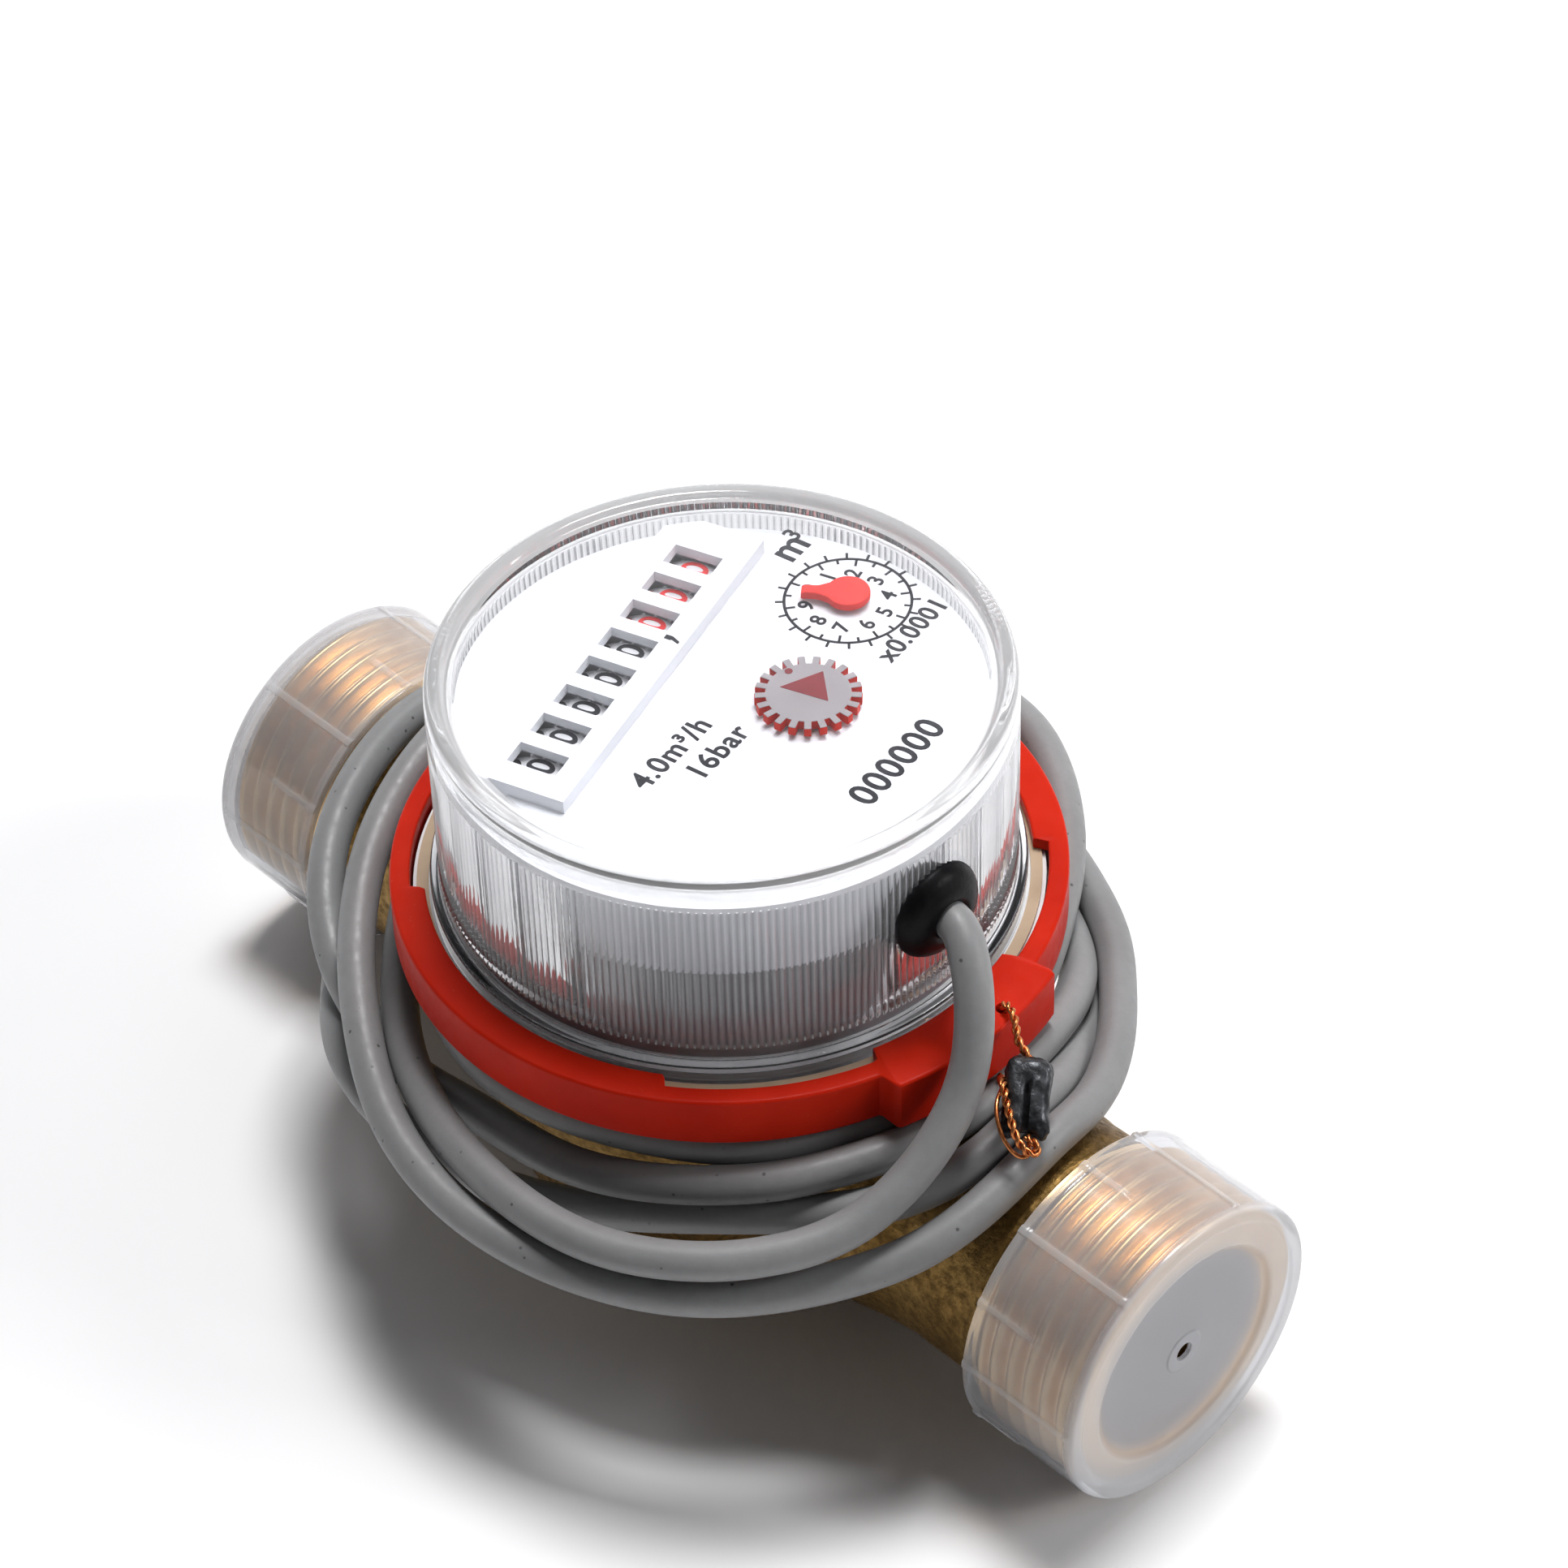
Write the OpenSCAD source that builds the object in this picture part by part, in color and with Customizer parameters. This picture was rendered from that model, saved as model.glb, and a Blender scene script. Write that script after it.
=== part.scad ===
// Single-jet dry-dial water meter, DN20, with a pulse lead coiled round its body.
// +X runs along the flow, out of the outlet. +Z is up. The origin is the centre of the flat foot.

/* [Body] */
// Length over the two threaded ends
body_l = 130; // [126:1:134]
// Height of the pipe axis above the foot
pipe_z = 18; // [17.5:0.25:18.5]
// Radius over the pipe thread
thread_r = 16.6; // [16.4:0.1:16.7]
// Radius of the ports
port_r = 10; // [9.5:0.25:10.5]
// Radius of the measuring chamber
chamber_r = 22.5; // [21.5:0.5:23]

/* [Clamp ring] */
// Outer radius of the clamp ring
ring_r = 35.7; // [35.5:0.1:36]
// Underside of the clamp ring
ring_z = 38; // [37.8:0.1:38.2]
// Height of the clamp ring
ring_h = 5.9; // [5.6:0.1:6.2]
// Outer radius of the sealing lug
lug_r = 38.1; // [37.5:0.1:38.3]

/* [Register] */
// Outer radius of the clear cover
cover_r = 30.4; // [30.2:0.1:30.5]
// Top of the clear cover
top_z = 69.7; // [69.5:0.1:70.5]
// Direction in which the dial's figures read
dial_turn = 109; // [100:1:120]
// Distance between neighbouring number wheels
wheel_pitch = 4.84; // [4.8:0.02:4.9]
// Radius of a number wheel
wheel_r = 6; // [5.8:0.1:6]

/* [Caps and cable] */
// Outer radius of a thread cap
cap_r = 17.5; // [17.4:0.1:18]
// Distance from the centre to a cap's open rim
cap_x = 51.2; // [51:0.1:52]
// Diameter of the pulse lead
cable_d = 4.1; // [3.9:0.1:4.2]

/* [Hidden] */
$fn = 96;
HALF = body_l / 2;
THREAD_X = 50.4;      // where the thread starts
NECK_R = 14.8;        // rough-cast pipe between body and thread
COLLAR_R = 33.4;      // collar that the clamp ring screws onto
COLLAR_Z = 40.9;
RING_IN = 33.6;
JET_TURN = 13;        // slant of the jets that feed and drain the chamber off-centre
JET_R = 3.4;
JET_Y = 4.6;          // how far off the pipe axis a jet starts
RING_TOP = ring_z + ring_h;
LIP_IN = 32;
LIP_Z = 42.5;
LUG = [-17.3, 17.5];  // angles between which the lug stands
GAPS = [[-55.4, -17.3], [17.5, 48.5], [122, 158], [196, 232.4]];  // between the ring's lips
WIRE_AT = [36.4 * cos(6), 36.4 * sin(6)];

// Register heights
BASE_Z = 37.1;
FLANGE_Z = 41;
COVER_Z = 42.05;
DIAL_Z = 64.3;
BAR_Z = 66;
PLATE_Z = 41.6;
BRIDGE_Z = 57.5;

// Counter: wheels along u at v = COUNT_V, in the dial's own frame (u reads right, v is up the dial)
COUNT = 8;
COUNT_U = 0.55;
COUNT_V = 12.1;
AXLE_Z = 58.4;
WHEEL_T = 20;
PINION_T = 8;
COUNT_M = 0.5;
STEP = COUNT_M * (WHEEL_T + PINION_T) / 2;
PINION_V = COUNT_V - STEP * cos(45);
PINION_Z = AXLE_Z - STEP * sin(45);

// Gear train on upright arbors
TRAIN_M = 0.4;
MAGNET_T = 12;
STAR_T = 32;
STAR_PINION_T = 10;
MID_T = 30;
MID_PINION_T = 15;
HAND_T = 28;
STAR_TURN = -65.4;
STAR_AT = TRAIN_M * (MAGNET_T + STAR_T) / 2 * [cos(STAR_TURN), sin(STAR_TURN)];
HAND_AT = [19.8, -4.6];
MID_AT = meet(STAR_AT, HAND_AT, TRAIN_M * (STAR_PINION_T + MID_T) / 2,
    TRAIN_M * (MID_PINION_T + HAND_T) / 2);
POINTER_TURN = 112;
SHAFT_R = 0.6;
HOLE_R = 0.65;

// Worm on the pointer's arbor, and the transfer wheel that it turns
WORM_R = 1.6;
WORM_STARTS = 2;
WORM_LEAD = PI * COUNT_M * WORM_STARTS;
WORM_Z = [46, 51.5];
TRANSFER_R = COUNT_M * WHEEL_T / 2;
TRANSFER_V = HAND_AT[1] + WORM_R + TRANSFER_R;
TRANSFER_Z = PINION_Z - sqrt(STEP * STEP - pow(PINION_V - TRANSFER_V, 2));
TRANSFER_U = [18.6, 20.1];
TO_PINION = atan2(PINION_Z - TRANSFER_Z, PINION_V - TRANSFER_V);
TO_WHEEL = 45;
TRANSFER_PHASE = 180;
DRIVE_PHASE = mesh_phase(WHEEL_T, TRANSFER_PHASE, TO_PINION, PINION_T);

// Lead: exit, then the way down to the coil; angle and height in degrees and mm
GLAND_Z = 57;
GLAND_TIP = 32.8;
LEAD = [
    [33.4, 0, 57], [34.4, -0.5, 56.9], [36, -2.1, 56.1], [38.1, -3.8, 54.1], [39.5, -5.3, 51.6],
    [40.4, -6.5, 49.1], [41.2, -8.2, 45.9], [42, -10.8, 43], [42.9, -14.4, 40.5],
    [43.8, -18.5, 38.2], [44.8, -23.4, 36.1], [45.6, -29, 34.2],
];

// ---- Helpers ----

// Point at distance a from p and b from q, on the left of the line from p to q
function meet(p, q, a, b) =
    let (d = norm(q - p), e = (q - p) / d, s = (d * d + a * a - b * b) / (2 * d))
    p + s * e + sqrt(a * a - s * s) * [-e[1], e[0]];

// Angle of a tooth on a gear of n2 teeth in mesh with one of n1 teeth that has a tooth at angle a1
function mesh_phase(n1, a1, line, n2) = line + 180 - n1 / n2 * (a1 - line) - 180 / n2;

function polar(r, a) = [r * cos(a), r * sin(a)];

// Outline of a gear with straight-flanked teeth and generous backlash
function gear_outline(n, m, phase) =
    let (r = n * m / 2, tip = r + 0.8 * m, root = r - 1.15 * m, p = 360 / n)
    [for (i = [0 : n - 1]) for (s = [[root, -0.27], [tip, -0.1], [tip, 0.1], [root, 0.27]])
        polar(s[0], phase + (i + s[1]) * p)];

module gear(n, m, phase, z, h, bore = 0) {
    translate([0, 0, z]) difference() {
        linear_extrude(h) polygon(gear_outline(n, m, phase));
        if (bore > 0) translate([0, 0, -1]) cylinder(r = bore, h = h + 2, $fn = 48);
    }
}

module post(at, r, z0, z1) {
    translate([at[0], at[1], z0]) cylinder(r = r, h = z1 - z0, $fn = 48);
}

module ring_band(r0, r1, z0, z1) {
    translate([0, 0, z0]) difference() {
        cylinder(r = r1, h = z1 - z0);
        translate([0, 0, -1]) cylinder(r = r0, h = z1 - z0 + 2);
    }
}

// Sector of a band between two angles
module arc_band(r0, r1, z0, z1, a) {
    rotate([0, 0, a[0]]) rotate_extrude(angle = a[1] - a[0])
        translate([r0, z0]) square([r1 - r0, z1 - z0]);
}

module dial_frame() {
    rotate([0, 0, dial_turn]) children();
}

// Puts an upright shape on a line along u, at place (v, z), its outline turned into the v-z plane
module along_u(u, v, z) {
    dial_frame() translate([u, v, z]) rotate([90, 0, 90]) children();
}

module along_x(x, r, h) {
    translate([x, 0, pipe_z]) rotate([0, 90, 0]) cylinder(r = r, h = h);
}

// Tube through a list of points: one closed surface with a ring of sides at each point
function unit(a) = a / norm(a);
function ring_at(pts, i, r, sides) =
    let (a = pts[max(i - 1, 0)], b = pts[min(i + 1, len(pts) - 1)], t = unit(b - a),
        ref = abs(t[2]) > 0.9 ? [1, 0, 0] : [0, 0, 1], n = unit(cross(ref, t)), m = cross(t, n))
    [for (k = [0 : sides - 1]) pts[i] + r * (cos(360 * k / sides) * n + sin(360 * k / sides) * m)];

module tube(pts, r, sides = 8) {
    last = len(pts) - 1;
    polyhedron(
        [for (i = [0 : last]) each ring_at(pts, i, r, sides)],
        [
            [for (k = [0 : sides - 1]) k],
            for (i = [0 : last - 1]) for (k = [0 : sides - 1])
                let (a = i * sides + k, b = i * sides + (k + 1) % sides)
                each [[a, a + sides, b], [b, a + sides, b + sides]],
            [for (k = [sides - 1 : -1 : 0]) last * sides + k],
        ]);
}

// ---- Body and wet side ----

module brass_body() color("darkkhaki") {
    difference() {
        union() {
            rotate_extrude() polygon([
                [0, 0], [17, 0], [19, 1.2], [22, 4], [25, 8], [26.5, 13], [27, 20], [27.5, 28],
                [29.5, 33], [29.5, 36.9], [COLLAR_R, 37.7], [COLLAR_R, COLLAR_Z], [0, COLLAR_Z],
            ]);
            along_x(-THREAD_X, NECK_R, 2 * THREAD_X);
            for (s = [0, 180]) rotate([0, 0, s]) {
                translate([22, 0, pipe_z]) rotate([0, 90, 0]) cylinder(r1 = 17.5, r2 = NECK_R, h = 16);
                translate([THREAD_X, 0, pipe_z]) rotate([0, 90, 0])
                    cylinder(r = thread_r, h = HALF - THREAD_X - 1);
                translate([HALF - 1, 0, pipe_z]) rotate([0, 90, 0])
                    cylinder(r1 = thread_r, r2 = thread_r - 1, h = 1);
            }
        }
        translate([0, 0, 8]) cylinder(r = chamber_r, h = 40);
        translate([0, 0, 31]) cylinder(r = 26.5, h = 20);
        translate([0, 0, 37]) cylinder(r = 28.3, h = 20);
        translate([0, 0, 6]) cylinder(r = 1, h = 3, $fn = 48);
        for (s = [0, 180]) rotate([0, 0, s]) {
            along_x(47, port_r, HALF);
            along_x(38, 9, 20);
            translate([39, JET_Y, pipe_z]) rotate([0, 0, 180 - JET_TURN]) rotate([0, 90, 0])
                cylinder(r = JET_R, h = 30);
        }
    }
}

module lower_pivot() color("silver") {
    translate([0, 0, 6]) cylinder(r = 0.98, h = 6.6, $fn = 48);
}

module impeller() color("ivory") {
    difference() {
        union() {
            translate([0, 0, 11]) cylinder(r = 4, h = 18, $fn = 64);
            translate([0, 0, 29]) cylinder(r = 2.9, h = 4, $fn = 64);
            for (i = [0 : 6]) rotate([0, 0, i * 360 / 7]) translate([3, -0.6, 12]) cube([17.5, 1.2, 15]);
            translate([0, 0, 25]) cylinder(r = 12, h = 1);
        }
        translate([0, 0, 10]) cylinder(r = 1.05, h = 3, $fn = 48);
        translate([0, 0, 22]) cylinder(r = 1.02, h = 12, $fn = 48);
    }
}

module impeller_shaft() color("silver") {
    translate([0, 0, 22.1]) cylinder(r = 1, h = 13.1, $fn = 48);
}

module drive_magnet() color("dimgray") ring_band(2.95, 8, 29.1, 33);

module pressure_plate() color("darkgoldenrod") {
    difference() {
        rotate_extrude() polygon([
            [0, 34.2], [21.5, 34.2], [22, 32.65], [26.2, 32.65], [26.2, 36.6], [0, 36.6],
        ]);
        translate([0, 0, 34]) cylinder(r = 1.05, h = 1.5, $fn = 48);
    }
}

module plate_seal() color("black") {
    translate([0, 0, 31.82]) rotate_extrude() translate([24.6, 0]) circle(r = 0.8, $fn = 32);
}

module inlet_strainer() color("white") {
    translate([-46.5, 0, pipe_z]) rotate([0, 90, 0]) difference() {
        cylinder(r = 8.95, h = 3);
        translate([0, 0, 0.8]) cylinder(r = 8.2, h = 3);
        for (i = [-3 : 3]) for (j = [-3 : 3])
            if (norm([i, j]) < 3.3) translate([2.3 * i, 2.3 * j, -1]) cylinder(r = 0.85, h = 3, $fn = 24);
    }
}

// ---- Clamp ring and seal ----

module clamp_ring() color("red") {
    difference() {
        union() {
            rotate_extrude() polygon([
                [RING_IN, ring_z], [ring_r, ring_z], [ring_r, RING_TOP], [LIP_IN, RING_TOP],
                [LIP_IN, LIP_Z], [RING_IN, LIP_Z],
            ]);
            arc_band(RING_IN + 0.5, lug_r, ring_z - 0.2, RING_TOP + 0.2, LUG);
        }
        for (a = GAPS) arc_band(LIP_IN - 1, RING_IN + 0.05, LIP_Z - 0.5, RING_TOP + 1, a);
        post(WIRE_AT, 0.9, ring_z - 1, RING_TOP + 1);
    }
}

module slip_ring() color("wheat") ring_band(31.65, 32.9, 42.08, 42.45);

SEAL_ENDS = [[42.3 * cos(1.9), 42.3 * sin(1.9), 43], [47.2 * cos(5.4), -47.2 * sin(5.4), 39.1]];
SEAL_AXIS = unit(SEAL_ENDS[1] - SEAL_ENDS[0]);
SEAL_R = 1.8;

module seal_wire() color("chocolate") {
    hole = concat(WIRE_AT, [0]);
    tube([
        hole + [0, 0, ring_z + 0.3], hole + [0, 0, RING_TOP + 0.3], hole + [0.6, 0, RING_TOP + 1.2],
        hole + [2.4, -0.6, RING_TOP + 1.4], SEAL_ENDS[0], SEAL_ENDS[0] + SEAL_R * SEAL_AXIS,
    ], 0.4);
}

module lead_seal() color("darkslategray") hull()
    for (p = [SEAL_ENDS[0] + SEAL_R * SEAL_AXIS, SEAL_ENDS[1] - SEAL_R * SEAL_AXIS])
        for (y = [-0.6, 0.6]) translate(p + [0, y, 0]) sphere(r = SEAL_R, $fn = 24);

// ---- Register case ----

module register_base() color("whitesmoke") {
    difference() {
        union() {
            translate([0, 0, BASE_Z]) cylinder(r = 27.9, h = 43 - BASE_Z);
            translate([0, 0, FLANGE_Z]) cylinder(r = 33.3, h = 1);
        }
        translate([0, 0, 38.6]) cylinder(r = 26.8, h = 10);
        translate([0, 0, 37.9]) cylinder(r = HOLE_R, h = 2, $fn = 48);
        ring_band(29.4, 30.6, 41.3, 43);
    }
}

module magnet_shield() color("slategray") ring_band(25.3, 26.5, 38.7, 41.5);

module clear_cover() color("aliceblue", 0.35) {
    difference() {
        rotate_extrude() polygon([
            [0, top_z - 3], [26.5, top_z - 3], [28.4, top_z - 4.4], [28.4, COVER_Z], [31.4, COVER_Z],
            [31.4, 44.5], [cover_r, 44.9], [cover_r, top_z - 1.7], [cover_r - 0.5, top_z - 0.5],
            [cover_r - 1.7, top_z], [27.4, top_z], [26.9, top_z - 0.5], [0, top_z - 0.5],
        ]);
        translate([25, 0, GLAND_Z]) rotate([0, 90, 0]) cylinder(r = 3.6, h = 8, $fn = 64);
    }
}

module cover_gasket() color("black") {
    translate([0, 0, 41.65]) rotate_extrude() translate([30, 0]) circle(r = 0.35, $fn = 24);
}

module cable_grommet() color("black") {
    translate([28, 0, GLAND_Z]) rotate([0, 90, 0]) rotate_extrude($fn = 64) polygon([
        [2.15, 0], [3.5, 0], [3.5, 2.6], [5.2, 2.6], [5.2, 3.2], [4.2, 4.2], [3, GLAND_TIP - 28],
        [2.15, GLAND_TIP - 28],
    ]);
}

// ---- Movement ----

module movement_housing() color("gray") ring_band(26.6, 27.6, 43.05, 55);

module lower_plate() color("gainsboro") {
    difference() {
        translate([0, 0, PLATE_Z]) cylinder(r = 26.4, h = 1.2);
        dial_frame() for (at = [[0, 0], STAR_AT, MID_AT, HAND_AT])
            post(at, HOLE_R, PLATE_Z - 1, PLATE_Z + 2);
    }
}

PILLARS = [[-20, -8], [-3, -22], [-12, -1]];

module pillars() color("gold") dial_frame() for (at = PILLARS) post(at, 1.2, PLATE_Z + 1.2, BRIDGE_Z);

module bridge_plate() color("gainsboro") {
    dial_frame() difference() {
        intersection() {
            translate([0, 0, BRIDGE_Z]) cylinder(r = 26.4, h = 1.2);
            translate([-30, -32, 50]) cube([60, 34, 20]);
        }
        for (at = [[0, 0], STAR_AT, MID_AT, HAND_AT]) post(at, HOLE_R, BRIDGE_Z - 1, BRIDGE_Z + 2);
    }
}

module bridge_screws() color("silver") {
    dial_frame() for (at = PILLARS) difference() {
        post(at, 1.6, BRIDGE_Z + 1.2, BRIDGE_Z + 2.1);
        translate([at[0] - 2, at[1] - 0.2, BRIDGE_Z + 1.7]) cube([4, 0.4, 1]);
    }
}

module driven_magnet() color("dimgray") ring_band(1, 8, 38.9, 41.3);

module magnet_arbor() color("lightyellow") {
    dial_frame() {
        post([0, 0], 0.98, 38.8, 41.4);
        post([0, 0], SHAFT_R, 38, BRIDGE_Z + 1);
        gear(MAGNET_T, TRAIN_M, STAR_TURN, 45.8, 2);
    }
}

module star_arbor() color("lightyellow") {
    to_mid = atan2(MID_AT[1] - STAR_AT[1], MID_AT[0] - STAR_AT[0]);
    dial_frame() translate(STAR_AT) {
        post([0, 0], SHAFT_R, PLATE_Z + 0.1, 64.7);
        gear(STAR_T, TRAIN_M, mesh_phase(MAGNET_T, STAR_TURN, STAR_TURN, STAR_T), 46.2, 1.2);
        gear(STAR_PINION_T, TRAIN_M, to_mid, 49, 2);
    }
}

module star_wheel() color("crimson") {
    dial_frame() translate(STAR_AT) difference() {
        gear(21, 0.52, 10, 64.75, 1.15);
        translate([0, 0, 60]) cylinder(r = SHAFT_R - 0.02, h = 4.7, $fn = 48);
    }
}

module middle_arbor() color("lightyellow") {
    to_mid = atan2(MID_AT[1] - STAR_AT[1], MID_AT[0] - STAR_AT[0]);
    to_hand = atan2(HAND_AT[1] - MID_AT[1], HAND_AT[0] - MID_AT[0]);
    dial_frame() translate(MID_AT) {
        post([0, 0], SHAFT_R, PLATE_Z + 0.1, BRIDGE_Z + 1);
        gear(MID_T, TRAIN_M, mesh_phase(STAR_PINION_T, to_mid, to_mid, MID_T), 49.4, 1.2);
        gear(MID_PINION_T, TRAIN_M, to_hand, 54.3, 1.8);
    }
}

// Outline of the two-start worm across its axis
function worm_outline() = [
    for (s = [0 : WORM_STARTS - 1]) for (p = [[-50, 1.1], [-18, 1.95], [-6, 1.98], [6, 1.98], [18, 1.95],
        [50, 1.1], [90, 1.1]]) polar(p[1], 360 * s / WORM_STARTS + p[0])
];

module pointer_arbor() color("lightyellow") {
    to_hand = atan2(HAND_AT[1] - MID_AT[1], HAND_AT[0] - MID_AT[0]);
    h = WORM_Z[1] - WORM_Z[0];
    dial_frame() translate(HAND_AT) {
        post([0, 0], SHAFT_R, PLATE_Z + 0.1, 64.85);
        gear(HAND_T, TRAIN_M, mesh_phase(MID_PINION_T, to_hand, to_hand, HAND_T), 54.6, 1.2);
        translate([0, 0, WORM_Z[0]]) rotate([0, 0, -360 * (TRANSFER_Z - WORM_Z[0]) / WORM_LEAD])
            linear_extrude(h, twist = -360 * h / WORM_LEAD, slices = 70, $fn = 14) polygon(worm_outline());
    }
}

module pointer() color("tomato") {
    dial_frame() translate([HAND_AT[0], HAND_AT[1], 64.9]) rotate([0, 0, POINTER_TURN]) {
        cylinder(r = 2.3, h = 0.8, $fn = 64);
        linear_extrude(0.8) polygon([[0, 2.2], [2.4, 0.6], [4.9, 0.45], [4.9, -0.45], [2.4, -0.6], [0, -2.2]]);
    }
}

// ---- Counter ----

module transfer_wheel() color("lightyellow") {
    along_u(TRANSFER_U[0], TRANSFER_V, TRANSFER_Z)
        gear(WHEEL_T, COUNT_M, TRANSFER_PHASE, 0, TRANSFER_U[1] - TRANSFER_U[0], HOLE_R);
}

module counter_frame() color("gainsboro") {
    dial_frame() difference() {
        union() {
            for (s = [-1, 1]) translate([s * 20.9 - 0.5, 4.6, 50]) cube([1, 10.9, 12.6]);
            translate([20.4, 0.4, 46.5]) cube([1, 7, 4.2]);
            translate([-21, 10, 50]) cube([42, 5.5, 1]);
            for (s = [-1, 1]) post([s * 15, 12.7], 1.2, PLATE_Z + 1.25, 50.5);
            translate([18.45, TRANSFER_V, TRANSFER_Z]) rotate([0, 90, 0]) cylinder(r = SHAFT_R, h = 2.2, $fn = 48);
        }
        translate([-25, COUNT_V, AXLE_Z]) rotate([0, 90, 0]) cylinder(r = 0.82, h = 50, $fn = 48);
        translate([-25, PINION_V, PINION_Z]) rotate([0, 90, 0]) cylinder(r = 0.52, h = 50, $fn = 48);
    }
}

module wheel_axle() color("silver") along_u(-21.6, COUNT_V, AXLE_Z) cylinder(r = 0.8, h = 43.2, $fn = 48);

module pinion_axle() color("silver") along_u(-21.6, PINION_V, PINION_Z) cylinder(r = 0.5, h = 43.2, $fn = 48);

// Wheel 1 shows the highest figure; the last one is driven by the transfer wheel
module number_wheel(k) {
    u = COUNT_U + (k - (COUNT + 1) / 2) * wheel_pitch;
    phase = k < COUNT ? TO_WHEEL + 180
        : mesh_phase(PINION_T, DRIVE_PHASE, TO_WHEEL, WHEEL_T);
    color("white") along_u(u - 2.25, COUNT_V, AXLE_Z) difference() {
        union() {
            cylinder(r = wheel_r, h = 3.3);
            gear(WHEEL_T, COUNT_M, phase, 3.3, 1.2);
        }
        translate([0, 0, -1]) cylinder(r = 0.85, h = 8, $fn = 48);
    }
}

module carry_pinion(k) {
    u = COUNT_U + (k - (COUNT + 1) / 2) * wheel_pitch;
    phase = k < COUNT ? mesh_phase(WHEEL_T, TO_WHEEL + 180, TO_WHEEL + 180, PINION_T) : DRIVE_PHASE;
    color("lightyellow") along_u(u + 1.15, PINION_V, PINION_Z)
        gear(PINION_T, COUNT_M, phase, 0, 1, 0.55);
}

module number_wheel_1() number_wheel(1);
module number_wheel_2() number_wheel(2);
module number_wheel_3() number_wheel(3);
module number_wheel_4() number_wheel(4);
module number_wheel_5() number_wheel(5);
module number_wheel_6() number_wheel(6);
module number_wheel_7() number_wheel(7);
module number_wheel_8() number_wheel(8);
module carry_pinion_1() carry_pinion(1);
module carry_pinion_2() carry_pinion(2);
module carry_pinion_3() carry_pinion(3);
module carry_pinion_4() carry_pinion(4);
module carry_pinion_5() carry_pinion(5);
module carry_pinion_6() carry_pinion(6);
module carry_pinion_7() carry_pinion(7);
module carry_pinion_8() carry_pinion(8);

module pulse_board() color("green") dial_frame() translate([2, -20, 56.6]) cube([14, 6, 0.8]);

module reed_switch() color("lightcyan") {
    dial_frame() translate([3, -15.4, 55.6]) rotate([0, 90, 0]) cylinder(r = 0.95, h = 12, $fn = 32);
}

module dial_plate() color("white") {
    dial_frame() difference() {
        union() {
            translate([0, 0, 63]) cylinder(r = 27.8, h = DIAL_Z - 63);
            ring_band(27, 27.8, 55.2, 63.5);
            intersection() {
                translate([0, 0, 63.5]) cylinder(r = 26.9, h = BAR_Z - 63.5);
                translate([-21.5, COUNT_V - 5.3, 63.5]) cube([44.5, 10.6, BAR_Z - 63.5]);
            }
        }
        translate([-19.6, COUNT_V - 4.5, 60]) cube([39.6, 9, 4.8]);
        for (k = [1 : COUNT])
            translate([COUNT_U + (k - (COUNT + 1) / 2) * wheel_pitch - 2.1, COUNT_V - 2.8, 64])
                cube([3, 5.6, 3]);
        for (at = [STAR_AT, HAND_AT]) post(at, 0.9, 62, 66);
    }
}

// ---- Pulse lead ----

module cable_lead() color("darkgray") {
    tube([for (p = LEAD) [p[0] * cos(p[1]), p[0] * sin(p[1]), p[2]]], cable_d / 2, 10);
}

// The coil lies over the two pipe necks and hangs between them: its limits at angle a
function saddle(a) = pow(abs(cos(a)), 3);
function coil_in(a) = 31.7 + 4.6 * saddle(a);
function coil_out(a) = 47.3 + 3.6 * saddle(a) - 3.6 * pow(sin(a / 2 + 22), 2);
function coil_low(a) = 23.5 + 10 * saddle(a);
COIL_TOP = 37.5;

function coil_corners(a) =
    let (i = coil_in(a), o = coil_out(a), l = coil_low(a), h = COIL_TOP)
    [[i, l + 1.5], [i + 1.5, l], [o - 1.5, l], [o, l + 1.5], [o, h - 1.5], [o - 1.5, h],
        [i + 1.5, h], [i, h - 1.5]];

module cable_coil() color("gray") {
    steps = 60;
    polyhedron(
        [for (s = [0 : steps - 1]) let (a = 360 * s / steps) for (c = coil_corners(a))
            [c[0] * cos(a), c[0] * sin(a), c[1]]],
        [for (s = [0 : steps - 1]) for (k = [0 : 7])
            let (a = s * 8 + k, b = s * 8 + (k + 1) % 8, c = ((s + 1) % steps) * 8 + k,
                d = ((s + 1) % steps) * 8 + (k + 1) % 8)
            each [[a, b, c], [b, d, c]]]);
}

// ---- Caps ----

module cap() {
    rotate([0, 90, 0]) rotate_extrude() polygon([
        [0, HALF + 0.1], [16.7, HALF + 0.1], [16.7, cap_x], [cap_r + 0.1, cap_x], [cap_r + 0.1, cap_x + 0.9],
        [cap_r, cap_x + 1.2], [cap_r - 0.1, 65.2], [cap_r - 0.9, 66.2], [14.6, 66.2], [14.2, 65.75],
        [0, 65.75],
    ]);
}

module cap_inlet() color("ghostwhite", 0.6) translate([0, 0, pipe_z]) rotate([0, 0, 180]) cap();

module cap_outlet() color("ghostwhite", 0.6) translate([0, 0, pipe_z]) cap();

brass_body();
lower_pivot();
impeller();
impeller_shaft();
drive_magnet();
pressure_plate();
plate_seal();
inlet_strainer();
clamp_ring();
slip_ring();
seal_wire();
lead_seal();
register_base();
magnet_shield();
lower_plate();
pillars();
bridge_plate();
bridge_screws();
movement_housing();
driven_magnet();
magnet_arbor();
star_arbor();
star_wheel();
middle_arbor();
pointer_arbor();
pointer();
transfer_wheel();
counter_frame();
wheel_axle();
pinion_axle();
number_wheel_1();
number_wheel_2();
number_wheel_3();
number_wheel_4();
number_wheel_5();
number_wheel_6();
number_wheel_7();
number_wheel_8();
carry_pinion_1();
carry_pinion_2();
carry_pinion_3();
carry_pinion_4();
carry_pinion_5();
carry_pinion_6();
carry_pinion_7();
carry_pinion_8();
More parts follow.
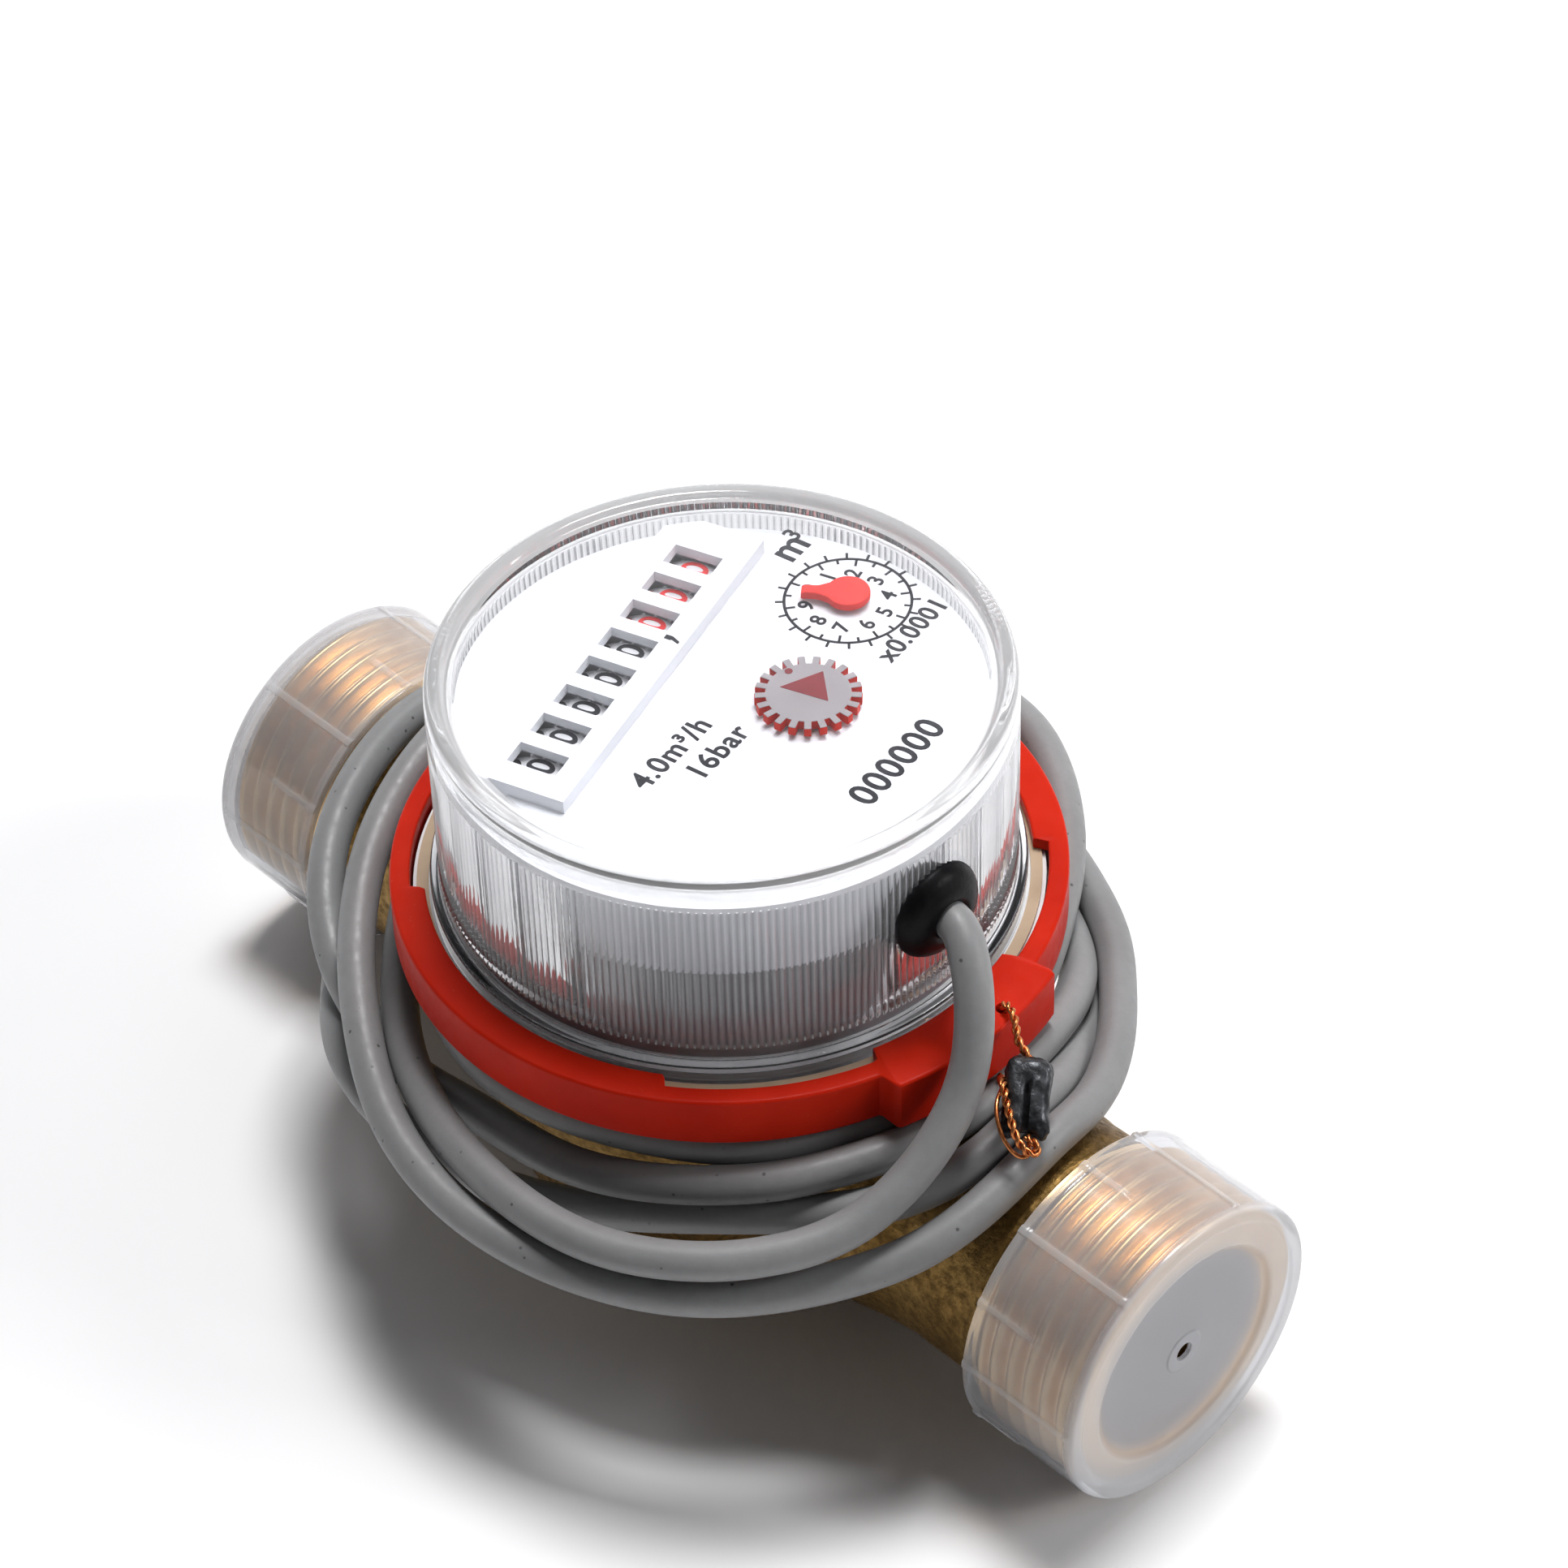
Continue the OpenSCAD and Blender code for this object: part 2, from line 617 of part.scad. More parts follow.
pulse_board();
reed_switch();
dial_plate();
clear_cover();
cover_gasket();
cable_grommet();
cable_lead();
cable_coil();
cap_inlet();
cap_outlet();
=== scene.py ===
"""Looks of a DN20 single-jet water meter with a pulse lead wound round its body.

Sizes here are in millimetres, and become metres in piece(). The CAD frame gives the places.
"""

import math

import bmesh
import bpy
import numpy as np
from mathutils import Matrix, Vector, noise


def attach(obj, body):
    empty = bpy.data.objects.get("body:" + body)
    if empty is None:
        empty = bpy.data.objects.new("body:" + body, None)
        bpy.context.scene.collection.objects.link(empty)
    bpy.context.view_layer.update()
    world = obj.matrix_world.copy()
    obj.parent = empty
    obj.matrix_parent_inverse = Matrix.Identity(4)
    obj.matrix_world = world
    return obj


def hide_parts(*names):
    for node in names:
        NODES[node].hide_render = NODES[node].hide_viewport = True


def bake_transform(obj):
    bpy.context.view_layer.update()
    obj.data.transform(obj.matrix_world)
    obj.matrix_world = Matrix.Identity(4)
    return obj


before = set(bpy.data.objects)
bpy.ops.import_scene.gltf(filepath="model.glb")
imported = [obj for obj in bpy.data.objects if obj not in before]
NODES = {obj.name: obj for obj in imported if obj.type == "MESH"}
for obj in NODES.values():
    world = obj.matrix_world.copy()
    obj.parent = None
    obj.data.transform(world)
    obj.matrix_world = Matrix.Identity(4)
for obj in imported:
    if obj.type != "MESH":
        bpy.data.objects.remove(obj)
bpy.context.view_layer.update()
MM = 0.001
TAU = 2 * math.pi


# ---- Camera: the photograph's angle, in the frame's own axes ----

AZIMUTH, ELEVATION, ROLL = 46.861, 43.140, -1.817
TARGET = Vector((-0.326, 8.531, 48.238)) * MM
DISTANCE = 537.35 * MM
LENS = 117.25


def direction(azimuth, elevation):
    """The way from the target to a place seen at those degrees."""
    a, e = math.radians(azimuth), math.radians(elevation)
    return Vector((math.sin(a) * math.cos(e), -math.cos(a) * math.cos(e), math.sin(e)))


def add_object(name, data):
    obj = bpy.data.objects.new(name, data)
    bpy.context.scene.collection.objects.link(obj)
    return obj


def make_camera():
    a, r = math.radians(AZIMUTH), math.radians(ROLL)
    back = direction(AZIMUTH, ELEVATION)
    right = Vector((math.cos(a), math.sin(a), 0))
    up = back.cross(right)
    x = math.cos(r) * right + math.sin(r) * up
    y = math.cos(r) * up - math.sin(r) * right
    data = bpy.data.cameras.new("camera")
    data.lens, data.sensor_width = LENS, 36
    data.clip_start, data.clip_end = 0.01, 20
    camera = add_object("camera", data)
    turn = Matrix((x, y, back)).transposed().to_4x4()
    camera.matrix_world = Matrix.Translation(TARGET + back * DISTANCE) @ turn
    bpy.context.scene.camera = camera


make_camera()


# ---- Mesh tools ----


def polar(radius, degrees, z=0.0):
    a = math.radians(degrees)
    return [radius * math.cos(a), radius * math.sin(a), z]


def smooth_step(x, start, end):
    """0 up to start, 1 from end on, and an even change between; start may be the larger one."""
    t = min(max((x - start) / (end - start), 0), 1)
    return t * t * (3 - 2 * t)


def unit(v):
    return v / np.linalg.norm(v)


def mesh(name, points, faces):
    """A welded mesh from millimetre points, with its faces turned outward."""
    data = bpy.data.meshes.new(name)
    data.from_pydata([tuple(p) for p in np.asarray(points, float) * MM], [], faces)
    bm = bmesh.new()
    bm.from_mesh(data)
    bmesh.ops.remove_doubles(bm, verts=bm.verts, dist=1e-7)
    bmesh.ops.recalc_face_normals(bm, faces=bm.faces)
    bm.to_mesh(data)
    bm.free()
    return data


def piece(name, points, faces, look, body, replaced=(), slot=None, smooth=35):
    """A mesh piece from millimetre points. Edges sharper than smooth degrees stay sharp."""
    return finish_piece(name, mesh(name, points, faces), look, body, replaced, smooth)


def finish_piece(name, data, look, body, replaced=(), smooth=35):
    obj = add_object(name, data)
    data.polygons.foreach_set("use_smooth", [True] * len(data.polygons))
    data.set_sharp_from_angle(angle=math.radians(smooth))
    data.materials.clear()
    data.materials.append(MATERIALS[look])
    if body:
        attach(obj, body)
    if replaced:
        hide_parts(*replaced)
    return obj


def cut(obj, points, faces):
    """Takes a closed shape out of a piece."""
    cutter = add_object("cutter", mesh("cutter", points, faces))
    modifier = obj.modifiers.new("cut", "BOOLEAN")
    modifier.operation, modifier.solver, modifier.object = "DIFFERENCE", "EXACT", cutter
    apply_modifiers(obj)
    bpy.data.objects.remove(cutter)


def apply_modifiers(obj):
    bpy.context.view_layer.update()
    made = bpy.data.meshes.new_from_object(obj.evaluated_get(bpy.context.evaluated_depsgraph_get()))
    obj.modifiers.clear()
    obj.data = made


def loft(rings, closed=False):
    """Quads between rings of equally many points; each ring is a closed loop. Open lofts get
    flat ends."""
    rings = np.asarray(rings, float)
    n, m = rings.shape[:2]
    faces = []
    for i in range(n if closed else n - 1):
        a, b = i * m, (i + 1) % n * m
        faces += [(a + j, a + (j + 1) % m, b + (j + 1) % m, b + j) for j in range(m)]
    if not closed:
        faces += [tuple(range(m - 1, -1, -1)), tuple(range((n - 1) * m, n * m))]
    return rings.reshape(-1, 3), faces


def join(*parts):
    """Several (points, faces) as one."""
    points, faces, start = [], [], 0
    for p, f in parts:
        points.append(np.asarray(p, float))
        faces += [tuple(i + start for i in face) for face in f]
        start += len(p)
    return np.vstack(points), faces


def rounded(corners, steps=4):
    """A closed outline from (point, radius) pairs, with each corner rounded by its radius."""
    points = [np.array(point, float) for point, _ in corners]
    out = []
    for i, (p, (_, radius)) in enumerate(zip(points, corners)):
        before, after = points[i - 1] - p, points[(i + 1) % len(points)] - p
        lb, la = np.linalg.norm(before), np.linalg.norm(after)
        size = min(radius, 0.49 * lb, 0.49 * la)
        if size < 1e-6:
            out.append(p)
            continue
        a, b = p + before / lb * size, p + after / la * size
        for t in np.linspace(0, 1, steps + 1):
            out.append((1 - t) ** 2 * a + 2 * t * (1 - t) * p + t * t * b)
    return np.array(out)


def revolve(profile, steps, shape=None, axis="z"):
    """A closed (radius, height) outline turned round an axis. shape(angles, outline) may give
    the outline's radii for each angle."""
    profile = np.asarray(profile, float)
    rings = []
    for a in np.linspace(0, TAU, steps, endpoint=False):
        r = profile[:, 0] if shape is None else shape(a, profile)
        rings.append(np.column_stack([r * math.cos(a), r * math.sin(a), profile[:, 1]]))
    points, faces = loft(rings, closed=True)
    if axis == "x":
        points = points[:, [2, 0, 1]]
    return points, faces


def along(points, spacing):
    """Even points along a smooth curve through the given ones."""
    p = np.asarray(points, float)
    q = np.vstack([2 * p[0] - p[1], p, 2 * p[-1] - p[-2]])
    t = np.linspace(0, 1, 16, endpoint=False)[:, None]
    fine = []
    for a, b, c, d in zip(q, q[1:], q[2:], q[3:]):
        fine.append(
            b + 0.5 * t * (c - a + t * (2 * a - 5 * b + 4 * c - d + t * (3 * (b - c) + d - a)))
        )
    return evenly(np.vstack([*fine, p[-1:]]), spacing)


def evenly(path, spacing):
    s = np.r_[0, np.cumsum(np.linalg.norm(np.diff(path, axis=0), axis=1))]
    t = np.linspace(0, s[-1], max(2, int(round(s[-1] / spacing)) + 1))
    return np.column_stack([np.interp(t, s, path[:, k]) for k in range(3)])


def frames(path):
    """Tangents and two cross directions that don't twist."""
    tangent = np.gradient(path, axis=0)
    tangent /= np.linalg.norm(tangent, axis=1)[:, None]
    side = np.cross(tangent[0], [0, 0, 1])
    if np.linalg.norm(side) < 0.1:
        side = np.cross(tangent[0], [1, 0, 0])
    sides = []
    for t in tangent:
        side = side - t * (side @ t)
        side /= np.linalg.norm(side)
        sides.append(side)
    sides = np.array(sides)
    return tangent, sides, np.cross(tangent, sides)


def tube(path, radius, sides, cap=0.35):
    """A round tube along a path, with softly closed ends."""
    path = np.asarray(path, float)
    tangent, u, v = frames(path)
    centre, radii = list(path), [radius] * len(path)
    u, v = list(u), list(v)
    for end, step in ((0, -1), (-1, 1)):
        out = tangent[end] * step
        for reach, share in ((0.6, 0.86), (1, 0.5)):
            at = 0 if end == 0 else len(centre)
            centre.insert(at, path[end] + out * radius * cap * reach)
            radii.insert(at, radius * share)
            u.insert(at, u[end])
            v.insert(at, v[end])
    a = np.linspace(0, TAU, sides, endpoint=False)
    rings = [
        c + r * (np.cos(a)[:, None] * x + np.sin(a)[:, None] * y)
        for c, r, x, y in zip(centre, radii, u, v)
    ]
    return loft(rings)


# ---- Materials ----

# On a cap's end, from the middle of the meter: the change onto the sunk disc, and onto its rim.
CAP_STEPS = ((64.8, 65.3), (65.5, 65.8))


class Nodes:
    """One material's node tree, with its Principled shader."""

    def __init__(self, name, **sockets):
        self.name = name
        self.material = bpy.data.materials.new(name)
        self.material.use_nodes = True
        self.tree = self.material.node_tree
        self.shader = self.tree.nodes["Principled BSDF"]
        self.output = self.tree.nodes["Material Output"]
        self.place = self.add("ShaderNodeTexCoord").outputs["Object"]
        for key, value in sockets.items():
            self.shader.inputs[key.replace("_", " ")].default_value = value
        self.height = None

    def add(self, kind, **settings):
        node = self.tree.nodes.new(kind)
        for key, value in settings.items():
            setattr(node, key, value)
        return node

    def link(self, out, into):
        self.tree.links.new(out, into)

    def noise(self, per_mm, detail=3.0, rough=0.55, stretch=None):
        """Noise with that many features to a millimetre."""
        place = self.place
        if stretch:
            scale = self.add("ShaderNodeMapping")
            scale.inputs["Scale"].default_value = stretch
            self.link(place, scale.inputs["Vector"])
            place = scale.outputs["Vector"]
        node = self.add("ShaderNodeTexNoise")
        self.link(place, node.inputs["Vector"])
        node.inputs["Scale"].default_value = per_mm / MM
        node.inputs["Detail"].default_value = detail
        node.inputs["Roughness"].default_value = rough
        return node.outputs["Fac"]

    def spots(self, per_mm, size):
        """1 inside scattered specks of about that share of a cell, and 0 outside."""
        node = self.add("ShaderNodeTexVoronoi")
        self.link(self.place, node.inputs["Vector"])
        node.inputs["Scale"].default_value = per_mm / MM
        return self.ramp(node.outputs["Distance"], size * 0.6, size, 1.0, 0.0)

    def ramp(self, value, low, high, first, last):
        """value from low to high, mapped to first to last; numbers or colours."""
        if np.isscalar(first):
            node = self.add("ShaderNodeMapRange")
            for key, v in zip(("From Min", "From Max", "To Min", "To Max"), (low, high, first, last)):
                node.inputs[key].default_value = v
            self.link(value, node.inputs["Value"])
            return node.outputs["Result"]
        node = self.add("ShaderNodeValToRGB")
        a, b = node.color_ramp.elements
        a.position, b.position = low, high
        a.color, b.color = (*first, 1), (*last, 1)
        self.link(value, node.inputs["Fac"])
        return node.outputs["Color"]

    def blend(self, share, first, second):
        """first where share is 0 and second where it is 1; colours or sockets."""
        node = self.add("ShaderNodeMix", data_type="RGBA")
        sockets = [s for s in node.inputs if s.type == "RGBA"]
        for socket, value in zip(sockets, (first, second)):
            if isinstance(value, tuple):
                socket.default_value = (*value, 1)
            else:
                self.link(value, socket)
        self.link(share, node.inputs["Factor"])
        return [s for s in node.outputs if s.type == "RGBA"][0]

    def times(self, a, b):
        node = self.add("ShaderNodeMath", operation="MULTIPLY")
        self.link(a, node.inputs[0])
        if np.isscalar(b):
            node.inputs[1].default_value = b
        else:
            self.link(b, node.inputs[1])
        return node.outputs[0]

    def colour(self, out):
        self.link(out, self.shader.inputs["Base Color"])

    def roughness(self, out):
        self.link(out, self.shader.inputs["Roughness"])

    def bump(self, out, depth_mm, strength=1.0):
        node = self.add("ShaderNodeBump")
        node.inputs["Strength"].default_value = strength
        node.inputs["Distance"].default_value = depth_mm * MM
        self.link(out, node.inputs["Height"])
        if self.height:
            self.link(self.height, node.inputs["Normal"])
        self.height = node.outputs["Normal"]
        self.link(self.height, self.shader.inputs["Normal"])

    def stored(self, name):
        """A value stored on the mesh's points."""
        return self.add("ShaderNodeAttribute", attribute_name=name).outputs["Fac"]

    def end_steps(self):
        """Two 0-to-1 steps on a cap: onto its sunk end disc, and up onto the rim round it."""
        parts = self.add("ShaderNodeSeparateXYZ")
        self.link(self.place, parts.inputs[0])
        size = self.add("ShaderNodeMath", operation="ABSOLUTE")
        self.link(parts.outputs["X"], size.inputs[0])
        return [self.ramp(size.outputs[0], low * MM, high * MM, 0, 1) for low, high in CAP_STEPS]

    def open_to_lamps(self, tint):
        """Lets lamp light through a clear part, as thin clear plastic does."""
        ray = self.add("ShaderNodeLightPath")
        clear = self.add("ShaderNodeBsdfTransparent")
        clear.inputs["Color"].default_value = (*tint, 1)
        mix = self.add("ShaderNodeMixShader")
        self.link(ray.outputs["Is Shadow Ray"], mix.inputs["Fac"])
        self.link(self.shader.outputs["BSDF"], mix.inputs[1])
        self.link(clear.outputs["BSDF"], mix.inputs[2])
        self.link(mix.outputs["Shader"], self.output.inputs["Surface"])


SATIN, MATT, INKY = (0.35, 0.5), (0.5, 0.65), (0.6, 0.75)


def moulded(name, dark, light, rough=SATIN, per_mm=0.12, grain=(3.0, 0.02), **sockets):
    """Moulded plastic: slow colour drift, uneven gloss and a fine skin, whose grain is its
    features to a millimetre and its depth."""
    m = Nodes(name, **sockets)
    m.colour(m.ramp(m.noise(per_mm), 0.3, 0.7, dark, light))
    m.roughness(m.ramp(m.noise(0.6, 4), 0.3, 0.7, *rough))
    m.bump(m.noise(grain[0], 2), grain[1])
    return m


def metal(name, dark, light, rough=(0.2, 0.35), per_mm=0.3, grain=(2.0, 0.02)):
    return moulded(name, dark, light, rough, per_mm, grain, Metallic=1.0)


def cast_brass():
    m = Nodes("cast_brass", Metallic=0.9)
    skin = m.noise(0.9, 5, 0.65)
    tone = m.ramp(m.noise(0.12, 4), 0.3, 0.7, (0.19, 0.105, 0.026), (0.42, 0.26, 0.085))
    dull = m.ramp(skin, 0.35, 0.6, 0.75, 0.0)
    m.colour(m.blend(dull, tone, (0.08, 0.045, 0.012)))
    m.roughness(m.ramp(skin, 0.3, 0.7, 0.62, 0.38))
    m.bump(skin, 0.22, 0.9)
    m.bump(m.noise(3.5, 3), 0.05, 0.7)
    return m


def turned_brass():
    m = Nodes("turned_brass", Metallic=1.0)
    m.colour(m.ramp(m.noise(0.2), 0.3, 0.7, (0.82, 0.53, 0.24), (0.97, 0.69, 0.36)))
    m.roughness(m.ramp(m.noise(0.4, 2), 0.3, 0.7, 0.32, 0.40))
    return m


def seal_lead():
    m = Nodes("lead", Metallic=0.75)
    worn = m.noise(0.7, 4)
    m.colour(m.ramp(worn, 0.42, 0.68, (0.012, 0.013, 0.015), (0.075, 0.078, 0.084)))
    m.roughness(m.ramp(worn, 0.3, 0.7, 0.62, 0.30))
    m.bump(worn, 0.16, 0.8)
    m.bump(m.noise(4.0, 3), 0.03, 0.6)
    return m


def red_plastic():
    m = Nodes("red_plastic", Subsurface_Weight=0.06, Subsurface_Scale=0.8 * MM,
              Specular_IOR_Level=0.07)
    m.shader.inputs["Subsurface Radius"].default_value = (1.0, 0.2, 0.1)
    base = m.ramp(m.noise(0.08), 0.3, 0.7, (0.47, 0.012, 0.003), (0.59, 0.020, 0.005))
    scuff = m.times(m.ramp(m.noise(1.6, 4, 0.7, (1, 1, 2.5)), 0.66, 0.74, 0, 1), 0.35)
    m.colour(m.blend(scuff, base, (0.66, 0.17, 0.12)))
    m.roughness(m.ramp(m.noise(0.7, 5), 0.3, 0.7, 0.30, 0.46))
    m.bump(m.noise(0.5, 3), 0.05, 0.5)
    m.bump(m.noise(5.0, 2), 0.012, 0.5)
    return m


def cable_sheath():
    m = Nodes("cable", Subsurface_Weight=0.05, Subsurface_Scale=0.8 * MM)
    base = m.ramp(m.noise(0.05, 3), 0.3, 0.7, (0.22, 0.22, 0.223), (0.28, 0.28, 0.283))
    cloudy = m.ramp(m.noise(0.9, 5, 0.7), 0.35, 0.75, 0.0, 0.30)
    base = m.blend(cloudy, base, (0.18, 0.18, 0.182))
    dirt = m.times(m.spots(0.42, 0.10), m.ramp(m.noise(0.15), 0.45, 0.55, 0.0, 0.85))
    base = m.blend(dirt, base, (0.05, 0.05, 0.05))
    rub = m.times(m.ramp(m.noise(1.1, 5, 0.75, (1, 1, 0.4)), 0.68, 0.76, 0, 1), 0.55)
    m.colour(m.blend(rub, base, (0.10, 0.10, 0.10)))
    m.roughness(m.ramp(m.noise(0.8, 4), 0.3, 0.7, 0.38, 0.56))
    m.bump(m.noise(0.7, 4), 0.06, 0.6)
    m.bump(m.noise(4.0, 2), 0.015, 0.6)
    return m


def clear_plastic():
    """The cover: painted shade darkens its grooves, and it is less clear where its wall is hazy."""
    m = Nodes("clear", IOR=1.49, Roughness=0.015)
    tint = m.ramp(m.noise(0.1), 0.3, 0.7, (0.965, 0.97, 0.98), (0.99, 0.99, 1.0))
    # Painted shade: the colour goes towards grey with the depth in a groove.
    m.colour(m.blend(m.stored("groove_shade"), tint, (0.50, 0.50, 0.52)))
    through = m.ramp(m.stored("haze"), 0, 1, 1, 0.62)
    m.link(through, m.shader.inputs["Transmission Weight"])
    m.bump(m.noise(0.25, 2), 0.012, 0.4)
    m.open_to_lamps((0.68, 0.68, 0.69))
    return m


def milky_plastic():
    """The caps: a thin wall that shows the thread, and a cloudier end disc and ribs."""
    m = Nodes("milky", IOR=1.06, Coat_Weight=0.5, Coat_Roughness=0.12)
    disc, rim = m.end_steps()
    wall = m.ramp(m.noise(0.15), 0.3, 0.7, (0.66, 0.67, 0.70), (0.75, 0.76, 0.79))
    m.colour(m.blend(rim, m.blend(disc, wall, (0.66, 0.66, 0.69)), (0.74, 0.75, 0.78)))
    m.roughness(m.ramp(disc, 0, 1, 0.02, 0.3))
    through = m.times(m.ramp(disc, 0, 1, 0.81, 0.58), m.ramp(rim, 0, 1, 1, 0.75))
    through = m.times(through, m.ramp(m.stored("haze"), 0, 1, 1, 0.80))
    m.link(through, m.shader.inputs["Transmission Weight"])
    m.bump(m.noise(0.25, 2), 0.02, 0.3)
    m.open_to_lamps((0.88, 0.86, 0.84))
    return m


def reed_glass():
    m = Nodes("glass", Transmission_Weight=1.0, IOR=1.5, Roughness=0.02)
    m.colour(m.ramp(m.noise(0.3), 0.3, 0.7, (0.80, 0.90, 0.84), (0.88, 0.96, 0.92)))
    return m


# name, dark tone, light tone, roughness from and to, specular level
PLAIN_LOOKS = (
    ("white_plastic", (0.72, 0.72, 0.73), (0.84, 0.84, 0.85), SATIN, 0.5),
    ("dial_white", (0.69, 0.70, 0.73), (0.75, 0.76, 0.79), (0.5, 0.6), 0.15),
    ("cream_plastic", (0.44, 0.31, 0.20), (0.56, 0.42, 0.28), SATIN, 0.5),
    ("ivory_plastic", (0.66, 0.62, 0.50), (0.76, 0.72, 0.60), SATIN, 0.5),
    ("gear_plastic", (0.74, 0.74, 0.70), (0.84, 0.84, 0.80), SATIN, 0.5),
    ("grey_plastic", (0.20, 0.20, 0.21), (0.27, 0.27, 0.28), SATIN, 0.5),
    ("strainer_plastic", (0.05, 0.09, 0.16), (0.08, 0.14, 0.24), SATIN, 0.5),
    ("red_paint", (0.66, 0.035, 0.03), (0.78, 0.05, 0.04), MATT, 0.12),
    ("foil", (0.24, 0.22, 0.23), (0.29, 0.27, 0.28), MATT, 0.15),
    ("mark_red", (0.15, 0.022, 0.026), (0.21, 0.035, 0.04), MATT, 0.15),
    ("ink", (0.015, 0.015, 0.02), (0.04, 0.04, 0.045), INKY, 0.1),
    ("red_ink", (0.60, 0.03, 0.03), (0.75, 0.05, 0.05), INKY, 0.1),
    ("board", (0.01, 0.09, 0.03), (0.02, 0.14, 0.05), (0.3, 0.45), 0.5),
    ("wheel", (0.60, 0.60, 0.62), (0.72, 0.72, 0.74), SATIN, 0.5),
    ("core_white", (0.70, 0.70, 0.70), (0.82, 0.82, 0.82), SATIN, 0.5),
    ("core_brown", (0.10, 0.04, 0.02), (0.15, 0.06, 0.03), SATIN, 0.5),
)


def make_materials():
    looks = [
        cast_brass(), turned_brass(),
        metal("steel", (0.42, 0.42, 0.43), (0.60, 0.60, 0.61)),
        metal("magnet", (0.05, 0.05, 0.055), (0.12, 0.12, 0.13), (0.4, 0.6)),
        metal("copper", (0.42, 0.13, 0.04), (0.85, 0.33, 0.12), (0.22, 0.42), 1.4, (5, 0.01)),
        seal_lead(), red_plastic(),
        moulded("rubber", (0.002, 0.002, 0.0025), (0.005, 0.005, 0.006), (0.34, 0.48), 0.3,
                (2.2, 0.03), Specular_IOR_Level=0.12),
        cable_sheath(), clear_plastic(), milky_plastic(), reed_glass(),
    ]
    for name, dark, light, rough, specular in PLAIN_LOOKS:
        looks.append(moulded(name, dark, light, rough, Specular_IOR_Level=specular))
    return {look.name: look.material for look in looks}


MATERIALS = make_materials()


# ---- Pulse lead: out of the grommet, down, and wound round the body ----

CABLE_R = 2.05
PIPE_Z = 18
EXIT_Z = 57
# The first 46 mm hang free and stay as drawn.
FREE = 46
# From the grommet down to the coil: angle, radius and height.
LEAD = [
    (0, 30.5, EXIT_Z), (0, 33.4, EXIT_Z), (-0.6, 34.5, 56.9), (-2.1, 36.1, 56.1),
    (-3.8, 38.1, 54.1), (-5.3, 39.5, 51.6), (-6.5, 40.4, 49.1), (-8.2, 41.2, 45.9),
    (-10.8, 42.0, 43.0), (-14.4, 42.9, 40.5), (-18.5, 43.8, 38.2), (-23.4, 44.8, 36.1),
    (-29, 45.6, 34.2),
]
# The coil, clockwise from above, in the same way.
COIL = [
    (-36, 46.1, 32.9), (-45, 46.5, 31.9), (-60, 45.5, 31.0), (-74, 43.0, 30.8), (-92, 39.9, 30.8),
    (-112, 37.3, 30.2), (-135, 35.6, 30.2), (-158, 36.3, 33.0), (-180, 38.1, 35.4),
    (-203, 39.5, 35.8), (-225, 41.8, 36.0), (-248, 43.4, 36.0), (-270, 43.9, 36.0),
    (-283, 41.2, 36.0), (-290, 39.4, 36.0), (-298, 37.8, 36.0), (-306, 36.3, 36.0),
    (-314, 34.9, 35.7), (-338, 34.0, 35.5), (-360, 34.0, 35.6), (-380, 33.8, 35.4),
    (-405, 33.7, 35.0), (-450, 33.6, 35.0), (-495, 33.4, 35.0), (-520, 33.3, 35.3),
    (-540, 33.2, 35.6), (-563, 33.3, 33.0), (-585, 33.8, 30.5), (-608, 34.5, 29.8),
    (-630, 35.0, 29.8), (-675, 36.6, 31.0), (-698, 38.0, 33.6), (-720, 39.0, 35.4),
    (-742, 38.0, 34.8), (-765, 37.2, 33.3), (-790, 36.0, 30.8), (-817, 34.2, 28.2),
    (-835, 37.4, 25.8), (-855, 43.2, 29.8), (-875, 46.3, 34.6), (-900, 48.8, 35.2),
    (-923, 47.2, 30.8), (-945, 43.5, 26.5), (-968, 39.5, 24.3), (-990, 37.5, 24.3),
    (-1035, 38.0, 26.4), (-1060, 41.0, 31.4), (-1080, 43.3, 35.1), (-1100, 42.5, 32.0),
    (-1125, 36.5, 28.3), (-1155, 36.4, 24.5), (-1177, 38.7, 23.2), (-1198, 42.5, 24.3),
    (-1215, 42.7, 25.0), (-1238, 42.9, 30.5), (-1260, 42.9, 35.3), (-1283, 42.3, 33.0),
    (-1305, 41.0, 31.0), (-1328, 40.0, 29.6), (-1350, 39.2, 29.6), (-1370, 38.6, 30.2),
    (-1384, 39.2, 31.0), (-1396, 41.0, 31.0), (-1408, 41.4, 31.0), (-1420, 41.8, 31.4),
    (-1431, 43.1, 33.3), (-1440, 45.7, 35.0), (-1452, 48.0, 33.2), (-1464, 48.1, 29.8),
    (-1485, 46.6, 26.6), (-1503, 46.0, 26.8), (-1522, 44.8, 27.5), (-1540, 43.1, 29.2),
    (-1558, 40.7, 31.6), (-1574, 40.1, 34.3), (-1591, 40.2, 37.0), (-1608, 40.5, 38.9),
    (-1620, 40.5, 39.6), (-1643, 40.6, 39.2), (-1665, 39.8, 38.2),
]


def push_from_pipe(p):
    """Moves points out of the pipe, which lies along X, and of its thread caps."""
    x = np.abs(p[:, 0])
    neck = np.interp(x, (22, 38, 49, 51), (17.5, 14.8, 14.8, 17.7))
    off = p[:, 1:] - [0, PIPE_Z]
    far = np.linalg.norm(off, axis=1)
    short = np.clip(neck + CABLE_R - far, 0, None)
    p[:, 1:] += off / far[:, None] * short[:, None]


